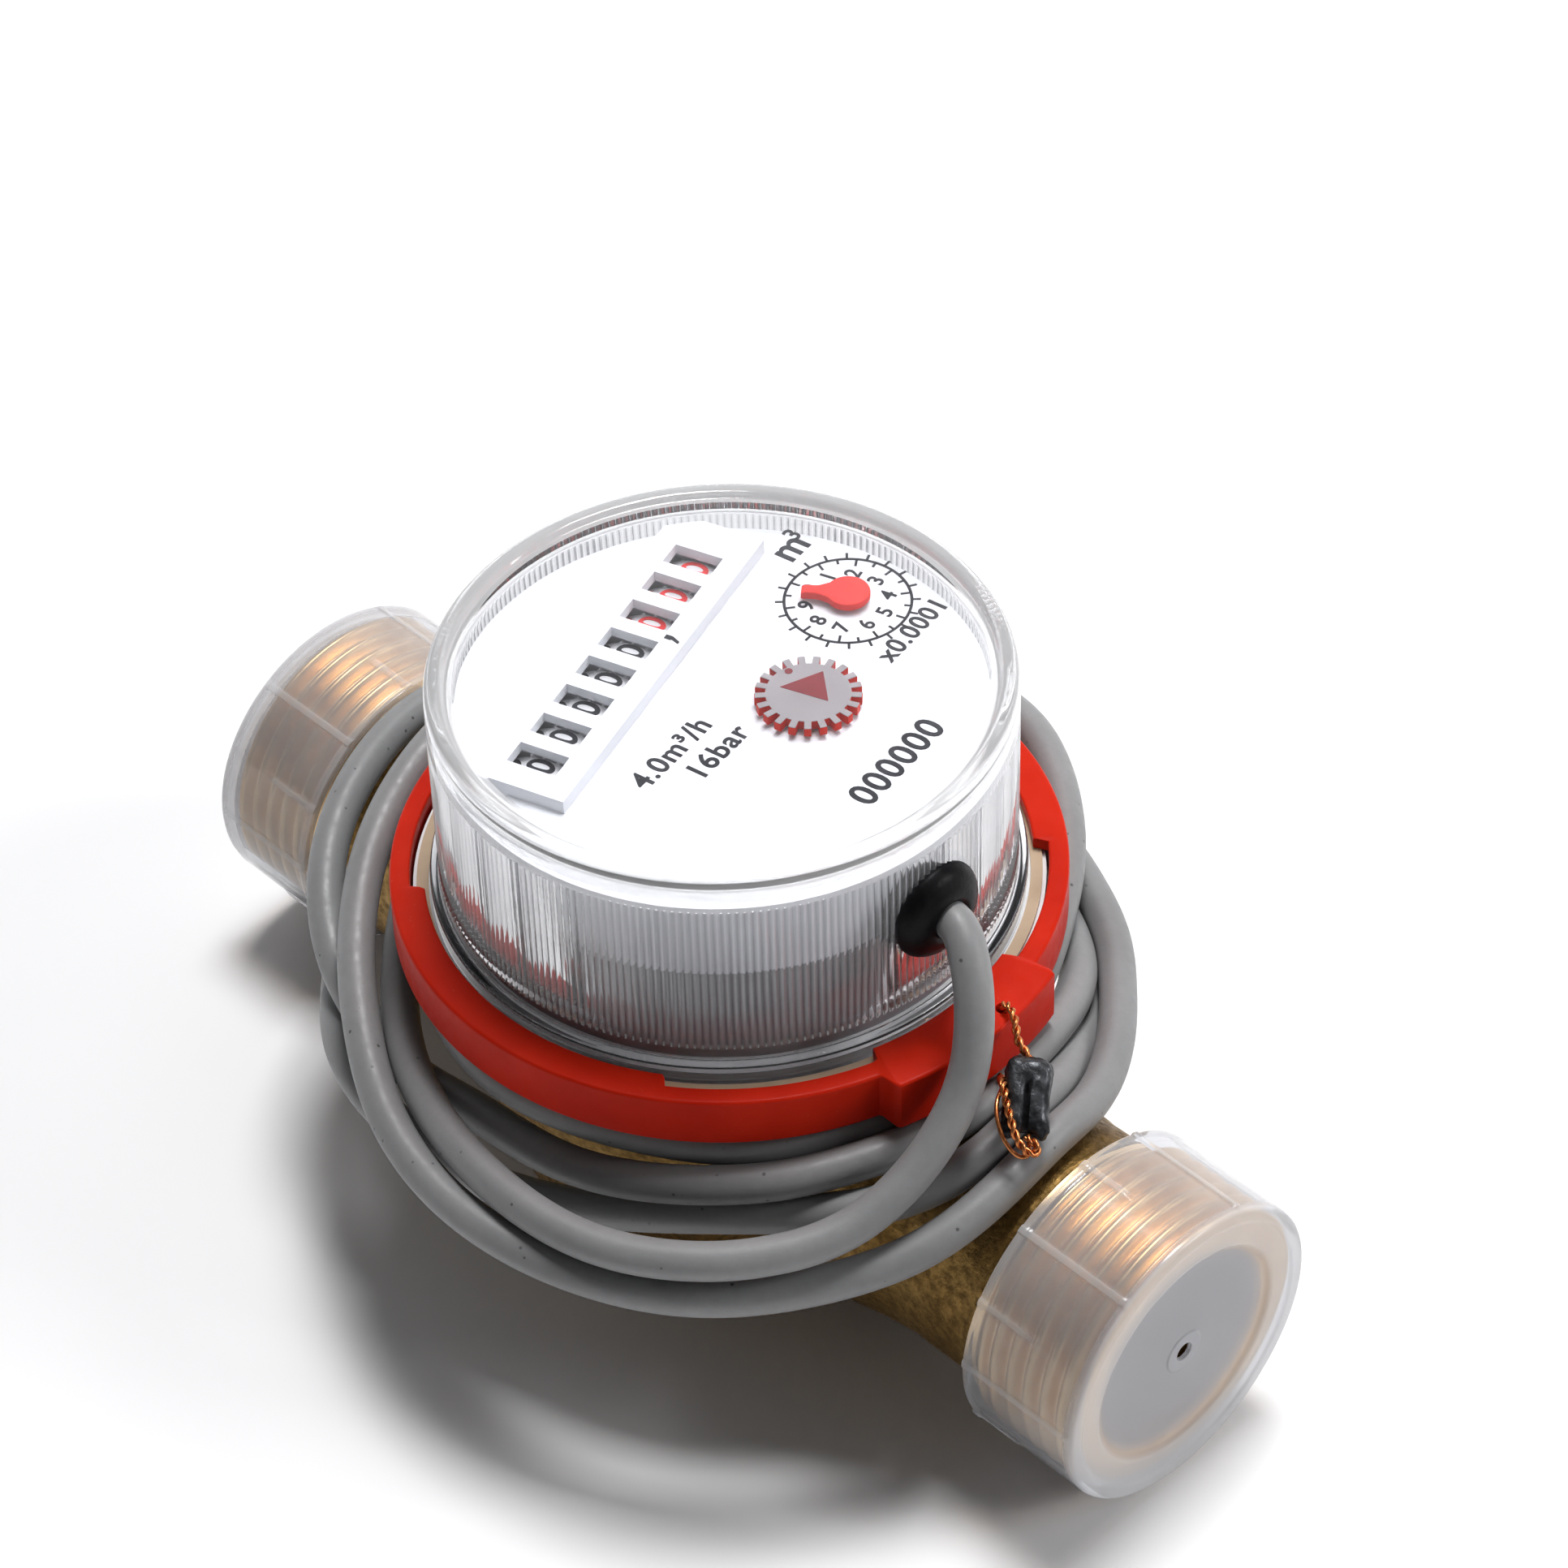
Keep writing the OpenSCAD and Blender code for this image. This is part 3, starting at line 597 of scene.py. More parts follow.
def push_from_ring(p):
    """Moves points out of the clamp ring and its lug, seen as one wide step."""
    r = np.hypot(p[:, 0], p[:, 1])
    a = np.degrees(np.arctan2(p[:, 1], p[:, 0]))
    lug_edge, ring_edge, underside = 38.2, 35.8, 37.9
    edge = np.where(np.abs(a) < 18.5, lug_edge, ring_edge)
    near = np.column_stack([np.minimum(r, edge), np.maximum(p[:, 2], underside)])
    away = np.column_stack([r, p[:, 2]]) - near
    far = np.maximum(np.linalg.norm(away, axis=1), 1e-6)
    move = away / far[:, None] * np.clip(CABLE_R - far, 0, None)[:, None]
    r_new = (r + move[:, 0]) / r
    p[:, 0] *= r_new
    p[:, 1] *= r_new
    p[:, 2] += move[:, 1]


def settle(path, fixed, rounds=90):
    """Lays a wound cable so that its turns touch without running into each other."""
    plan, p = path.copy(), path.copy()
    n = len(p)
    apart, along_it = 2 * CABLE_R + 0.04, 14
    i, j = np.triu_indices(n, along_it)
    for k in range(rounds):
        if k % 6 == 0:
            near = np.linalg.norm(p[i] - p[j], axis=1) < 2.6 * CABLE_R + 1
            a, b = i[near], j[near]
        gap = p[a] - p[b]
        far = np.maximum(np.linalg.norm(gap, axis=1), 1e-6)
        push = gap / far[:, None] * (0.5 * np.clip(apart - far, 0, None))[:, None]
        move, count = np.zeros_like(p), np.zeros(n)
        for ends, sign in ((a, 1), (b, -1)):
            np.add.at(move, ends, sign * push)
            np.add.at(count, ends, far < apart)
        p += move / np.maximum(count, 1)[:, None] * 1.4
        push_from_ring(p)
        push_from_pipe(p)
        if k < rounds - 8:
            p[2:-2] += 0.35 * (0.25 * (p[1:-3] + p[3:-1]) + 0.25 * (p[:-4] + p[4:]) - p[2:-2])
            p += 0.03 * (plan - p)
        p[:fixed] = plan[:fixed]
    return p


def make_core(name, end, out, side, sign):
    """One core that leaves the sheath's cut end and droops round the meter, with a bare tip."""
    far, turn = np.hypot(*end[:2]), math.degrees(math.atan2(end[1], end[0]))
    way = [end - out * 3 + side * sign * 0.8, end + out * 2 + side * sign * 0.9] + [
        polar(far - 0.4 * k + sign * (0.9 + 0.25 * k), turn - 9 * k - sign, end[2] - 0.5 * k)
        for k in (1, 2, 3)
    ]
    line = along(way, 0.6)
    tip = unit(line[-1] - line[-2])
    bare = along([line[-1] - tip * 1.5, line[-1] + tip * 2, line[-1] + tip * 5.5], 0.5)
    return [
        piece(name, *tube(line, 0.62, 12), name, "body", slot="cable"),
        piece(name + "_tip", *tube(bare, 0.38, 10), "copper", "body", slot="copper"),
    ]


def make_cable():
    """The lead as one tube from the grommet to its bare end, and its two cores."""
    points = [polar(radius, angle, z) for angle, radius, z in LEAD + COIL]
    path = settle(along(points, 1.0), FREE)
    for _ in range(3):
        path[1:-1] += 0.25 * (path[:-2] + path[2:] - 2 * path[1:-1])
    path = evenly(path, 1.0)
    points, faces = tube(path, CABLE_R, 24, cap=0.12)
    cable = piece("pulse_lead", points, faces, "cable", None, ["cable_lead", "cable_coil"],
                  "cable", smooth=60)
    end, out = path[-1], unit(path[-1] - path[-4])
    side = np.cross(out, [0, 0, 1])
    cores = []
    for name, sign in (("core_white", 1), ("core_brown", -1)):
        cores += make_core(name, end, out, side, sign)
    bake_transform(cable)


make_cable()


# ---- Clear cover ----

COVER_R, COVER_IN, FLANGE_R = 30.4, 28.4, 31.4
COVER_Z = 42.05
RIB_Z = (46.2, 65.4)
RIBS, RIB_DEPTH = 240, 0.28
TOP_Z = 69.7


def make_cover():
    """A clear cup turned upside down, with fine grooves round its wall. Its points also store how
    deep in a groove they are, which the material uses to paint shade into the grooves, and how hazy
    the plastic is there, for the material."""
    low, high = RIB_Z
    ceiling = 66.7
    corners = [
        ((COVER_IN, COVER_Z), 0.1), ((FLANGE_R, COVER_Z), 0.15), ((FLANGE_R, 44.5), 0.45),
        ((COVER_R, 44.7), 0.35), ((COVER_R, low - 0.25), 0), ((COVER_R, low), 0),
        ((COVER_R, low + 0.4), 0), ((COVER_R, high - 0.4), 0), ((COVER_R, high), 0),
        ((COVER_R, high + 0.3), 0), ((COVER_R - 0.05, TOP_Z), 1.3), ((28.7, TOP_Z), 0.35),
        ((28.1, TOP_Z - 0.55), 0.25), ((27.4, TOP_Z - 0.45), 0.2), ((0, TOP_Z - 0.45), 0),
        ((0, ceiling), 0), ((COVER_IN, ceiling), 1.4),
    ]
    outline = rounded(corners, 5)
    z = outline[:, 1]
    rib = np.clip(np.minimum(z - low, high - z) / 0.35, 0, 1) * (outline[:, 0] > COVER_R - 0.01)

    def shape(a, profile):
        phase = a * RIBS / TAU % 1
        dip = 1 - abs(2 * phase - 1)
        return profile[:, 0] - RIB_DEPTH * dip * rib

    points, faces = revolve(outline, RIBS * 4, shape)
    shell = piece("cover_shell", points, faces, "clear", "register", ["clear_cover"], "clear",
                  smooth=28)
    # Painted shade weight: 0 on a rib's crest, 1 at the bottom of a groove.
    groove_shade = shell.data.attributes.new("groove_shade", "FLOAT", "POINT")
    haze = shell.data.attributes.new("haze", "FLOAT", "POINT")
    for k, vertex in enumerate(shell.data.vertices):
        x, y, z = vertex.co / MM
        r = math.hypot(x, y)
        if COVER_IN + 0.5 < r and low < z < high:
            groove_shade.data[k].value = min(max((COVER_R - r) / RIB_DEPTH, 0), 1)
            haze.data[k].value = 0.35
        elif r > COVER_IN - 1:
            haze.data[k].value = smooth_step(z, high - 0.5, high + 1)


# ---- Clamp ring with its lips, gaps and sealing lug ----

RING_R, RING_IN, LIP_IN, RING_Z, RING_TOP, LIP_Z = 35.7, 33.6, 32.0, 38.0, 43.9, 42.5
LUG_R = 38.1
LUG = (-17.3, 17.5)
GAPS = ((-55.4, -17.3), (17.5, 48.5), (122, 158), (196, 232.4))
WIRE_HOLE = (36.4, 6)


def ring_outline(degrees):
    """The ring's cross-section there: wider at the lug, and without its lip in a gap."""
    a = (degrees + 180) % 360 - 180
    gap = 0.0
    for start, end in GAPS:
        for turn in (-360, 0):
            gap = max(gap, smooth_step(degrees + turn, start - 0.3, start + 0.3)
                      * (1 - smooth_step(degrees + turn, end - 0.3, end + 0.3)))
    first, last = LUG
    lug = smooth_step(a, first - 1.6, first + 0.2) * (1 - smooth_step(a, last - 0.2, last + 0.5))
    outer = RING_R + (LUG_R - RING_R) * lug
    inner = LIP_IN + (RING_IN - 0.06 - LIP_IN) * gap
    low, top = RING_Z - 0.2 * lug, RING_TOP + 0.2 * lug
    return rounded([
        ((RING_IN, RING_Z), 0.2), ((outer, low), 0.4), ((outer, top), 0.45), ((inner, top), 0.3),
        ((inner, LIP_Z), 0.2), ((RING_IN, LIP_Z - 0.02), 0.05),
    ])


def make_ring():
    """The whole ring, with the seal wire's hole cut through its lug."""
    rings = []
    for degrees in np.arange(0, 360, 0.5):
        a = math.radians(degrees)
        r, z = ring_outline(degrees).T
        rings.append(np.column_stack([r * math.cos(a), r * math.sin(a), z]))
    points, faces = loft(rings, closed=True)
    ring = piece("lock_ring", points, faces, "red_plastic", "body", ["clamp_ring"],
                 "red_plastic", smooth=40)
    hole, sides = np.array(polar(*WIRE_HOLE)), 24
    bore = [[hole + polar(0.8, 360 / sides * k, z) for k in range(sides)]
            for z in (RING_Z - 2, RING_TOP + 2)]
    cut(ring, *loft(bore))
    ring.data.set_sharp_from_angle(angle=math.radians(40))


# ---- Seal: twisted copper wire and a pinched lead ----

SEAL_ENDS = np.array([polar(42.3, 1.9, 43), polar(47.2, -5.4, 39.1)])
SEAL_AXIS = unit(SEAL_ENDS[1] - SEAL_ENDS[0])
SEAL_SIDE = unit(np.cross([0, 0, 1], SEAL_AXIS))
SEAL_FACE = np.cross(SEAL_AXIS, SEAL_SIDE)
# One wire's radius, the length of one twist, and each wire's distance from the middle.
WIRE_R, TWIST, SPREAD = 0.23, 2.3, 0.25


def twisted(way):
    """Two wires twisted round each other along a way."""
    spacing = 0.12
    line = along(way, spacing)
    _, u, v = frames(line)
    s = np.arange(len(line)) * spacing * TAU / TWIST
    parts = []
    for turn in (0, math.pi):
        offset = SPREAD * (np.cos(s + turn)[:, None] * u + np.sin(s + turn)[:, None] * v)
        parts.append(tube(line + offset, WIRE_R, 8))
    return join(*parts)


def seal_point(down, side, out):
    """A point by the seal: mm down its length from its top, sideways and out of its face."""
    return SEAL_ENDS[0] + SEAL_AXIS * down + SEAL_SIDE * side + SEAL_FACE * out


def make_seal_wire():
    hole = np.array(polar(*WIRE_HOLE))
    top = [
        hole + [0, 0, 38.6], hole + [0, 0, 41.5], hole + [0.05, 0, 44.0], hole + [0.5, -0.2, 45.1],
        hole + [1.6, -0.6, 45.5], hole + [3.0, -1.4, 45.2], hole + [4.3, -2.3, 44.2],
        seal_point(0.2, 0, 0), seal_point(1.6, 0, 0),
    ]
    low = [
        polar(36.6, 4.5, 38.6), polar(37.2, 3.6, 37.5), polar(38.2, 2.2, 37.1),
        seal_point(3.0, -2.5, 0.9), seal_point(5.0, -2.0, 1.9), seal_point(7.2, -1.3, 2.0),
        seal_point(8.9, -0.6, 1.6), seal_point(9.8, 0.2, 0.9), seal_point(10.1, 1.0, 0.4),
        seal_point(9.5, 1.5, 0.6), seal_point(8.8, 0.9, 0.8), seal_point(8.2, 0.3, 0.2),
    ]
    loop = [
        seal_point(3.6, -2.6, 0.6), seal_point(5.2, -2.9, 1.3), seal_point(7.0, -2.7, 1.5),
        seal_point(8.8, -2.0, 1.2), seal_point(10.0, -1.0, 0.6), seal_point(10.4, 0.0, 0.2),
        seal_point(9.9, 0.7, 0.2), seal_point(8.4, 0.4, -0.2),
    ]
    points, faces = join(twisted(top), twisted(low), tube(along(loop, 0.12), WIRE_R, 8))
    piece("seal_wire_pair", points, faces, "copper", "body", ["seal_wire"], "copper", smooth=60)


def make_lead_seal():
    """A boxy ball, drawn in at its waist, creased where it was pinched, and dented."""
    half = np.array([2.6, 1.7, np.linalg.norm(SEAL_ENDS[1] - SEAL_ENDS[0]) / 2])
    rows, sides = 72, 96
    down = (math.pi * np.arange(1, rows) / rows)[:, None]
    round_it = TAU * np.arange(sides) / sides
    ball = np.stack([np.sin(down) * np.cos(round_it), np.sin(down) * np.sin(round_it),
                     -np.cos(down) + 0 * round_it], -1)
    boxy = np.sign(ball) * np.abs(ball) ** np.array([0.62, 0.62, 0.45])
    side, out, down = (boxy[..., k] for k in range(3))
    t = (down + 1) / 2
    waist = 1 - 0.07 * np.sin(math.pi * t) + 0.05 * np.cos(TAU * t)
    lobes = 1 - 0.16 * np.exp(-((down - 0.95) / 0.25) ** 2) * np.cos(side * math.pi)
    crease = 0.55 * np.exp(-((side + 0.05) / 0.10) ** 2) * np.clip((t - 0.22) * 5, 0, 1)
    flat = np.where(out > 0, out * (0.94 - crease), out * (0.94 - 0.6 * crease))
    x, y, z = side * half[0] * waist, flat * half[1], down * half[2] * lobes
    local = np.stack([x, y, z], -1).reshape(-1, 3)
    dents = np.array([noise.noise(Vector(q) * 0.8) for q in local])
    fine = np.array([noise.noise(Vector(q) * 2.6 + Vector((7, 3, 1))) for q in local])
    local *= (1 + 0.07 * dents + 0.025 * fine)[:, None]
    points = SEAL_ENDS.mean(0) + local @ np.array([SEAL_SIDE, SEAL_FACE, SEAL_AXIS])
    points, faces = loft(points.reshape(rows - 1, sides, 3))
    piece("pinched_lead", points, faces, "lead", "body", ["lead_seal"], "lead", smooth=50)


# ---- Thread caps ----

CAP_R, CAP_IN, CAP_OPEN, CAP_END, CAP_FLOOR = 17.5, 16.75, 51.2, 66.2, 65.45
RIB_HIGH = 0.24
# Moulded ribs along the cap: angle about the pipe and length from the open rim.
CAP_RIBS = (
    (65, 14.6), (91, 6.6), (122, 14.6), (150, 7.2), (176, 14.6), (206, 6.8), (235, 14.6),
    (265, 7.0), (294, 14.6), (323, 6.8), (350, 14.6), (20, 7.0),
)


def make_cap(name, node, body, sign):
    """A push-on cap turned about the pipe: a sunk end disc with a small hole, and thin ribs."""
    corners = [
        ((CAP_IN, CAP_OPEN), 0.15), ((CAP_R + 0.15, CAP_OPEN), 0.2), ((CAP_R + 0.15, 52.0), 0.2),
        ((CAP_R, 52.4), 0.2), ((CAP_R, 54.5), 0), ((CAP_R, 57), 0), ((CAP_R, 58.2), 0),
        ((CAP_R, 60), 0), ((CAP_R, 62.5), 0), ((CAP_R, 64.9), 0), ((CAP_R, CAP_END), 0.9),
        ((15.9, CAP_END), 0.35), ((15.5, CAP_END - 0.25), 0.2), ((13.0, CAP_END - 0.3), 0.3),
        ((12.4, CAP_FLOOR), 0.3), ((2.6, CAP_FLOOR), 0.1), ((2.4, CAP_FLOOR + 0.12), 0.1),
        ((1.1, CAP_FLOOR + 0.12), 0.1), ((0.95, 65.1), 0.05),
        ((16.0, 65.1), 0.2), ((CAP_IN, 64.4), 0.2),
    ]
    outline = rounded(corners)
    x = outline[:, 1]
    outside = (outline[:, 0] > CAP_R - 0.05) & (x < CAP_END - 0.5)

    def shape(a, profile):
        r = profile[:, 0].copy()
        for degrees, length in CAP_RIBS:
            off = (math.degrees(a) - degrees + 180) % 360 - 180
            high = smooth_step(abs(off), 1.8, 1.0)
            r += RIB_HIGH * high * outside * np.clip((CAP_OPEN + length - x) / 0.3, 0, 1)
        return r

    points, faces = revolve(outline, 480, shape, axis="x")
    points = points * [sign, 1, 1] + [0, 0, PIPE_Z]
    cap = piece(name, points, faces, "milky", body, [node], "milky", smooth=40)
    haze = cap.data.attributes.new("haze", "FLOAT", "POINT")
    for vertex, value in zip(cap.data.vertices, haze.data):
        x, y, z = vertex.co / MM
        if abs(x) < CAP_END - 1:
            value.value = smooth_step(math.hypot(y, z - PIPE_Z) - CAP_R, 0, RIB_HIGH)


# ---- Body: cast skin, machined ends with G1 thread ----

THREAD_X, THREAD_END, THREAD_CREST, THREAD_DEPTH, PITCH = 50.4, 65.0, 16.6, 1.2, 2.309
PORT_R = 10
# The cast neck inside each thread piece.
CORE_R = 14.2


def make_thread(name, sign):
    """A machined end: a rounded thread that fades out at both ends, and a chamfered port."""
    steps = 240
    rows = np.arange(THREAD_X, THREAD_END + 0.01, PITCH / 24)
    rings = []
    for k in range(steps):
        a = TAU * k / steps
        wave = 1 - (0.5 - 0.5 * np.cos(TAU * (rows / PITCH - sign * k / steps))) ** 1.3
        fade = np.clip((rows - THREAD_X - 0.6) / 1.6, 0, 1) * np.clip((66.3 - rows) / 1.8, 0, 1)
        outer = THREAD_CREST - THREAD_DEPTH * (1 - wave * fade)
        r = np.r_[outer, outer[-1] - 0.35, PORT_R + 2, PORT_R, PORT_R, THREAD_CREST - 3]
        x = np.r_[rows, THREAD_END + 0.15, THREAD_END + 0.15, THREAD_END - 1.85, 60, THREAD_X]
        rings.append(np.column_stack([sign * x, r * math.cos(a), PIPE_Z + r * math.sin(a)]))
    points, faces = loft(rings, closed=True)
    piece(name, points, faces, "turned_brass", "body", slot="brass", smooth=85)


def soft_body():
    """The CAD body, remeshed so that its edges are soft."""
    source = NODES["brass_body"].data.copy()
    bm = bmesh.new()
    bm.from_mesh(source)
    bmesh.ops.remove_doubles(bm, verts=bm.verts, dist=1e-7)
    bm.to_mesh(source)
    bm.free()
    obj = finish_piece("body_casting", source, "cast_brass", "body")
    remesh = obj.modifiers.new("skin", "REMESH")
    remesh.mode, remesh.voxel_size, remesh.use_smooth_shade = "VOXEL", 0.75 * MM, True
    soften = obj.modifiers.new("soften", "SMOOTH")
    soften.factor, soften.iterations = 0.5, 8
    apply_modifiers(obj)
    obj.data.materials.clear()
    obj.data.materials.append(MATERIALS["cast_brass"])
    return obj


def vectors(data, name):
    """A mesh's points or normals as rows of three."""
    values = np.zeros(len(data.vertices) * 3)
    data.vertices.foreach_get(name, values)
    return values.reshape(-1, 3)


def make_casting():
    """The softened body with a cast skin outside, drawn in under the threads."""
    obj = soft_body()
    p, normal = vectors(obj.data, "co") / MM, vectors(obj.data, "normal")
    x, off = np.abs(p[:, 0]), p[:, 1:] - [0, PIPE_Z]
    far = np.linalg.norm(off, axis=1)
    neck_end, inside, foot, ring_z = THREAD_X - 0.6, 12, 0.3, 37.5
    thread = (x > neck_end) & (far > CORE_R)
    p[thread, 1:] = [0, PIPE_Z] + off[thread] / far[thread, None] * CORE_R
    p[:, 0] = np.clip(p[:, 0], -THREAD_END + 0.3, THREAD_END - 0.3)
    p[:, 2] = np.maximum(p[:, 2], 0)
    seen = (x < neck_end) & (p[:, 2] > foot) & (p[:, 2] < ring_z) & (far > inside)
    for i in np.flatnonzero(seen):
        q = Vector(p[i])
        p[i] += normal[i] * (0.10 * noise.noise(q * 0.9) + 0.16 * noise.noise(q * 0.22))
    obj.data.vertices.foreach_set("co", (p * MM).ravel())
    obj.data.update()
    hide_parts("brass_body")


# ---- Grommet ----


def make_grommet():
    """A rubber sleeve round the lead, grooved where the cover's wall holds it."""
    corners = [
        ((2.0, 27.6), 0.2), ((4.6, 27.6), 0.4), ((4.6, 28.3), 0.2), ((3.9, 28.5), 0.2),
        ((3.9, 30.0), 0.2), ((5.2, 29.7), 0.2), ((5.5, 30.5), 0.4), ((4.9, 31.7), 0.9),
        ((3.4, 32.6), 0.9), ((2.5, 32.8), 0.3), ((2.0, 32.5), 0.1),
    ]
    points, faces = revolve(rounded(corners, 5), 96, axis="x")
    piece("lead_gland", points + [0, 0, EXIT_Z], faces, "rubber", "register", ["cable_grommet"],
          "rubber", smooth=50)


# ---- Dial: print, pointer, star wheel and figures ----

DIAL_TURN = math.radians(109)
U = np.array([math.cos(DIAL_TURN), math.sin(DIAL_TURN), 0])
V = np.array([-math.sin(DIAL_TURN), math.cos(DIAL_TURN), 0])
DIAL_Z, BAR_Z = 64.3, 66.0
PRINT_H = 0.04
PRINT_TURN = math.radians(-8)
HAND_AT = (19.8, -4.6)
STAR_AT = (8.8 * math.cos(math.radians(-65.4)), 8.8 * math.sin(math.radians(-65.4)))
WHEEL_PITCH, COUNT_U, COUNT_V, AXLE_Z, WHEEL_R = 4.84, 0.55, 12.1, 58.4, 6.0


def on_dial(outline, z):
    """Points in the dial's own (u, v), at a height."""
    return np.array([U * u + V * v + np.array([0, 0, z]) for u, v in outline])


def prism(outline, low, high):
    """A flat shape in the dial's own (u, v), between two heights."""
    return loft([on_dial(outline, low), on_dial(outline, high)])


def circle(u, v, radius, steps):
    """An outline in the dial's own (u, v)."""
    angles = np.linspace(0, TAU, steps, endpoint=False)
    return [(radius * math.cos(a) + u, radius * math.sin(a) + v) for a in angles]


def lettering(text, u, v, size, z=DIAL_Z, turn=0.0, spacing=1.0):
    """Figures as thin ink on the dial, centred on a point. They read along the u axis, or turned
    from it."""
    curve = bpy.data.curves.new("ink", "FONT")
    curve.body, curve.size, curve.align_x, curve.align_y = text, size, "CENTER", "CENTER"
    curve.space_character = spacing
    curve.extrude = PRINT_H / 2
    curve.offset = 0.02 * size
    curve.resolution_u = 4
    obj = add_object("ink", curve)
    bpy.context.view_layer.update()
    data = bpy.data.meshes.new_from_object(
        obj.evaluated_get(bpy.context.evaluated_depsgraph_get()))
    p = np.array([w.co for w in data.vertices])
    faces = [tuple(f.vertices) for f in data.polygons]
    bpy.data.objects.remove(obj)
    bpy.data.meshes.remove(data)
    c, s = math.cos(turn), math.sin(turn)
    x, y = p[:, 0] * c - p[:, 1] * s, p[:, 0] * s + p[:, 1] * c
    points = U * (u + x)[:, None] + V * (v + y)[:, None]
    return points + np.array([0, 0, z + PRINT_H / 2]) + np.outer(p[:, 2], [0, 0, 1]), faces


def make_scale():
    """The small scale round the pointer: a ring, 40 ticks and the figures 0 to 9."""
    hu, hv = HAND_AT
    ring, line, tick = 6.7, 0.16, 0.14
    outline = [(ring - line, 0), (ring + line, 0), (ring + line, PRINT_H), (ring - line, PRINT_H)]
    points, faces = revolve(outline, 96)
    parts = [(points + on_dial([HAND_AT], DIAL_Z), faces)]
    for k in range(40):
        a = TAU * k / 40 + TAU / 4
        if k % 2:
            first, last = ring, ring + 0.95
        else:
            first, last = ring - (1.1 if k % 4 == 0 else 0.75), ring
        way = np.array([math.cos(a), math.sin(a)])
        across = np.array([-way[1], way[0]]) * tick
        ends = [way * first, way * last]
        quad = [ends[0] - across, ends[1] - across, ends[1] + across, ends[0] + across]
        parts.append(prism(np.array(quad) + [hu, hv], DIAL_Z, DIAL_Z + PRINT_H))
    figures, size = 4.35, 2.5
    for k in range(10):
        a = math.radians(90 - 36 * k)
        u, v = hu + figures * math.cos(a), hv + figures * math.sin(a)
        parts.append(lettering(str(k), u, v, size))
    return parts


def make_print():
    parts = make_scale()
    for text, u, v, size in (
        ("x0.0001", 18.5, -12.8, 3.2), ("m", 24.8, 4.7, 5.0), ("3", 26.9, 5.4, 2.8),
        ("4.0m\u00b3/h", -9.0, 1.2, 3.5), ("16bar", -6.9, -3.0, 3.5),
        ("000000", -0.4, -20.1, 4.4),
    ):
        parts.append(lettering(text, u, v, size, turn=PRINT_TURN, spacing=1.08))
    points, faces = join(*parts)
    piece("dial_print", points, faces, "ink", "register", slot="dial")
    comma = [(0, 0.42), (0.42, 0.42), (0.42, -0.1), (0.1, -0.75), (-0.15, -0.75), (0.1, -0.1),
             (0, -0.1)]
    comma = np.array(comma) * 1.5 + [COUNT_U + 0.84 * WHEEL_PITCH, COUNT_V - 3.6]
    piece("decimal_comma", *prism(comma, BAR_Z, BAR_Z + PRINT_H), "ink", "register", slot="dial")


def make_pointer():
    """A round hub and a short flat finger."""
    hub, tip, open_side = 2.35, math.radians(112), math.radians(32)
    outline = []
    for a in np.linspace(open_side, TAU - open_side, 49):
        outline.append((hub * math.cos(a), hub * math.sin(a)))
    finger = [(4.9, 0.62), (3.7, 0.62), (3.1, 0.72), (2.6, 0.95)]
    outline = np.array(outline + [(x, -y) for x, y in finger[::-1]] + finger)
    turn = np.array([[math.cos(tip), math.sin(tip)], [-math.sin(tip), math.cos(tip)]])
    flat = outline @ turn
    levels = ((64.85, 0.97), (64.95, 1.0), (65.5, 1.0), (65.65, 0.97), (65.72, 0.90))
    rings = [on_dial(flat * k + HAND_AT, z) for z, k in levels]
    piece("pointer_hand", *loft(rings), "red_paint", "hand", ["pointer"], "red_paint", smooth=40)


def make_star():
    """The toothed star wheel, its foil disc, and a triangle and a dot on the foil."""
    teeth, root, crest = 21, 4.45, 5.55
    foil_top, mark_top = 65.86, 65.90
    outline = []
    for k in range(teeth):
        a = TAU * k / teeth
        half_root, half_tip = TAU / teeth * 0.27, TAU / teeth * 0.225
        outline += [
            (root, a - half_root), (crest, a - half_tip), (crest, a), (crest, a + half_tip),
            (root, a + half_root), (root, a + TAU / teeth / 2),
        ]
    flat = np.array([(r * math.cos(a), r * math.sin(a)) for r, a in outline])
    levels = ((64.72, 0.985), (64.8, 1), (65.72, 1), (65.78, 0.99))
    rings = [on_dial(flat * k + STAR_AT, z) for z, k in levels]
    piece("flow_star", *loft(rings), "red_plastic", "star", ["star_wheel"], "red_plastic",
          smooth=30)
    foil = prism(flat * 0.99 + STAR_AT, 65.782, foil_top)
    piece("star_foil", *foil, "foil", "star", slot="red_plastic", smooth=30)
    triangle = [(corner, 0.12) for corner in ((-0.55, 3.0), (3.5, 0.05), (-0.35, -2.45))]
    su, sv = STAR_AT
    outlines = (rounded(triangle, 2) + STAR_AT, circle(su + 2.0, sv + 3.25, 0.42, 20))
    marks = join(*[prism(mark, foil_top + 0.001, mark_top) for mark in outlines])
    piece("star_marks", *marks, "mark_red", "star", slot="red_paint")


def make_figures():
    """Figures 0 to 9 round each number wheel, 0 in the window."""
    size, narrow = 4.3, 0.92
    for k in range(1, 9):
        u = COUNT_U + (k - 4.5) * WHEEL_PITCH
        parts = []
        for digit in range(10):
            flat, faces = lettering(str(digit), 0, 0, size, z=0)
            across, up = flat @ U, flat @ V
            a = up / WHEEL_R - TAU * digit / 10
            r = WHEEL_R + 0.02 + flat[:, 2]
            points = (
                np.outer(u + across * narrow, U) + np.outer(COUNT_V + r * np.sin(a), V)
                + np.outer(AXLE_Z + r * np.cos(a), [0, 0, 1])
            )
            parts.append((points, faces))
        ink = "red_ink" if k > 5 else "ink"
        piece(f"figures_{k}", *join(*parts), ink, f"figure_{k}", slot="dial")


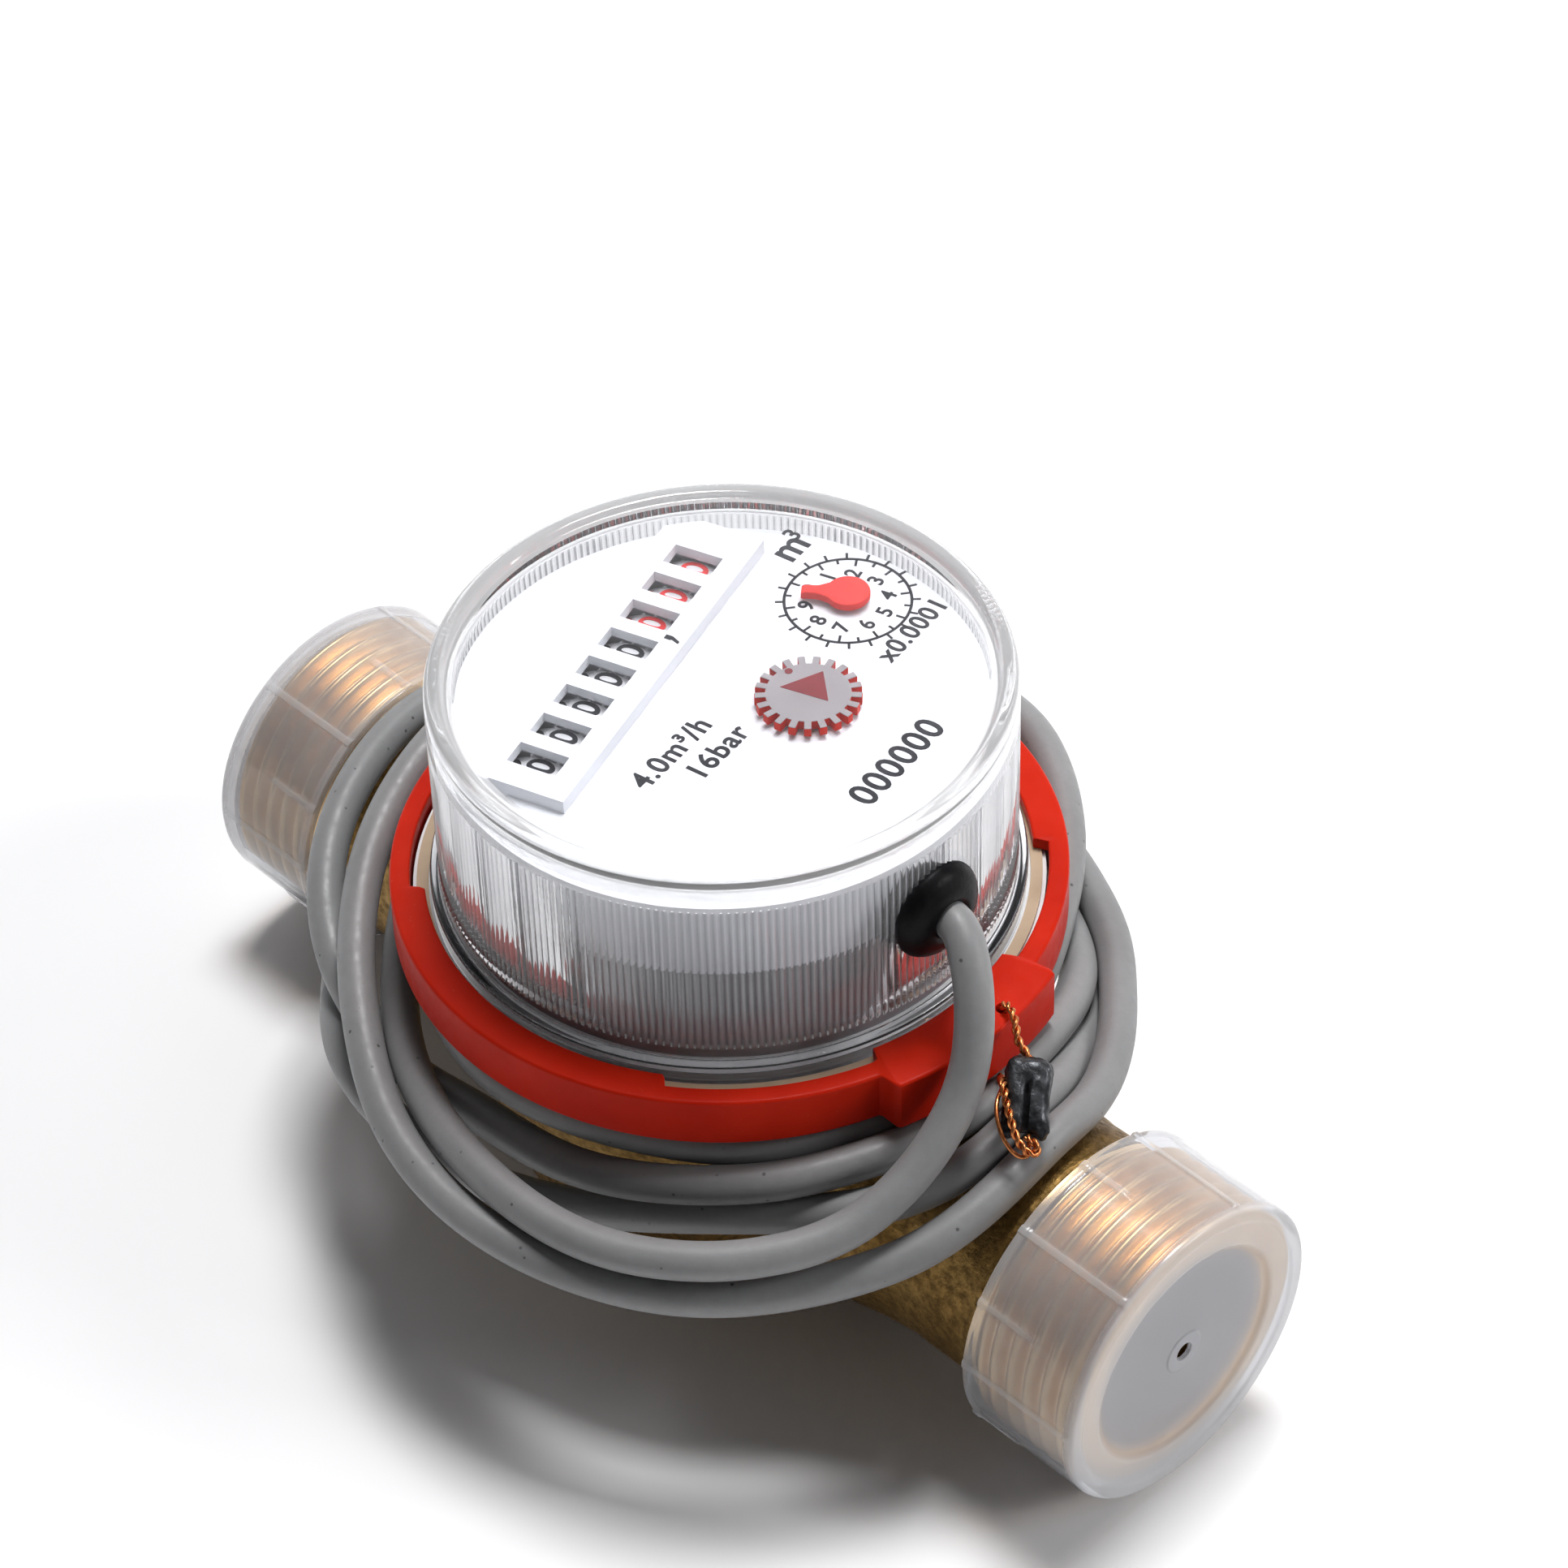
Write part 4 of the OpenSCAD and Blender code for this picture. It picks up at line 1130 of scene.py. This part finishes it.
make_cover()
make_ring()
make_seal_wire()
make_lead_seal()
make_cap("thread_cap_inlet", "cap_inlet", "inlet_cap", -1)
make_cap("thread_cap_outlet", "cap_outlet", "outlet_cap", 1)
make_casting()
make_thread("thread_inlet", -1)
make_thread("thread_outlet", 1)
make_grommet()
make_print()
make_pointer()
make_star()
make_figures()


# ---- Carried-over CAD nodes ----

# Each look, and the nodes that have it. A numbered node is named without its number.
PAINT = {
    "white_plastic": ("register_base", "counter_frame", "lower_plate", "bridge_plate"),
    "dial_white": ("dial_plate",),
    "cream_plastic": ("slip_ring",),
    "ivory_plastic": ("impeller",),
    "grey_plastic": ("movement_housing",),
    "strainer_plastic": ("inlet_strainer",),
    "gear_plastic": ("magnet_arbor", "star_arbor", "middle_arbor", "pointer_arbor",
                     "transfer_wheel", "carry_pinion"),
    "wheel": ("number_wheel",),
    "turned_brass": ("pillars", "pressure_plate"),
    "steel": ("bridge_screws", "magnet_shield", "wheel_axle", "pinion_axle", "lower_pivot",
              "impeller_shaft"),
    "magnet": ("driven_magnet", "drive_magnet"),
    "board": ("pulse_board",),
    "glass": ("reed_switch",),
    "rubber": ("cover_gasket", "plate_seal"),
}


def paint_nodes():
    look_of = {node: look for look, nodes in PAINT.items() for node in nodes}
    for name, obj in NODES.items():
        if obj.hide_render:
            continue
        look = look_of[name.rstrip("_0123456789")]
        for slot in obj.material_slots:
            slot.material = MATERIALS[look]


paint_nodes()


# ---- Floor and light ----


def make_floor():
    s = 6.0
    data = bpy.data.meshes.new("floor")
    data.from_pydata([(-s, -s, 0), (s, -s, 0), (s, s, 0), (-s, s, 0)], [], [(0, 1, 2, 3)])
    paper = Nodes("floor", Roughness=0.9)
    paper.colour(paper.ramp(paper.noise(0.01), 0.3, 0.7, (0.93, 0.93, 0.94), (0.96, 0.96, 0.97)))
    data.materials.append(paper.material)
    add_object("floor", data)


def make_sky():
    """Soft light that is strongest behind the object and low down."""
    world = bpy.data.worlds.new("studio")
    world.use_nodes = True
    tree = world.node_tree
    place = tree.nodes.new("ShaderNodeTexCoord")
    facing = tree.nodes.new("ShaderNodeVectorMath")
    facing.operation = "DOT_PRODUCT"
    behind = math.radians(AZIMUTH + 180)
    facing.inputs[1].default_value = (math.sin(behind), -math.cos(behind), -0.7)
    sky = tree.nodes.new("ShaderNodeMapRange")
    sky.interpolation_type = "SMOOTHERSTEP"
    for key, value in zip(("From Min", "From Max", "To Min", "To Max"), (-0.15, 0.95, 0.08, 1.3)):
        sky.inputs[key].default_value = value
    tree.links.new(place.outputs["Generated"], facing.inputs[0])
    tree.links.new(facing.outputs["Value"], sky.inputs["Value"])
    tree.links.new(sky.outputs["Result"], tree.nodes["Background"].inputs["Strength"])
    tree.nodes["Background"].inputs["Color"].default_value = (0.97, 0.98, 1.0, 1)
    bpy.context.scene.world = world


def make_lamp(name, azimuth, elevation, distance, width, watts):
    lamp = bpy.data.lights.new(name, "AREA")
    lamp.shape, lamp.size, lamp.energy = "SQUARE", width, watts
    obj = add_object(name, lamp)
    obj.visible_transmission = False
    back = direction(azimuth, elevation)
    obj.location = TARGET + back * distance
    obj.rotation_mode = "QUATERNION"
    obj.rotation_quaternion = back.to_track_quat("Z", "Y")


make_floor()
make_sky()
make_lamp("key", 204, 74, 2.0, 0.6, 36)
make_lamp("side", 129, 32, 2.0, 0.7, 15)
bpy.context.scene.view_settings.view_transform = "Standard"
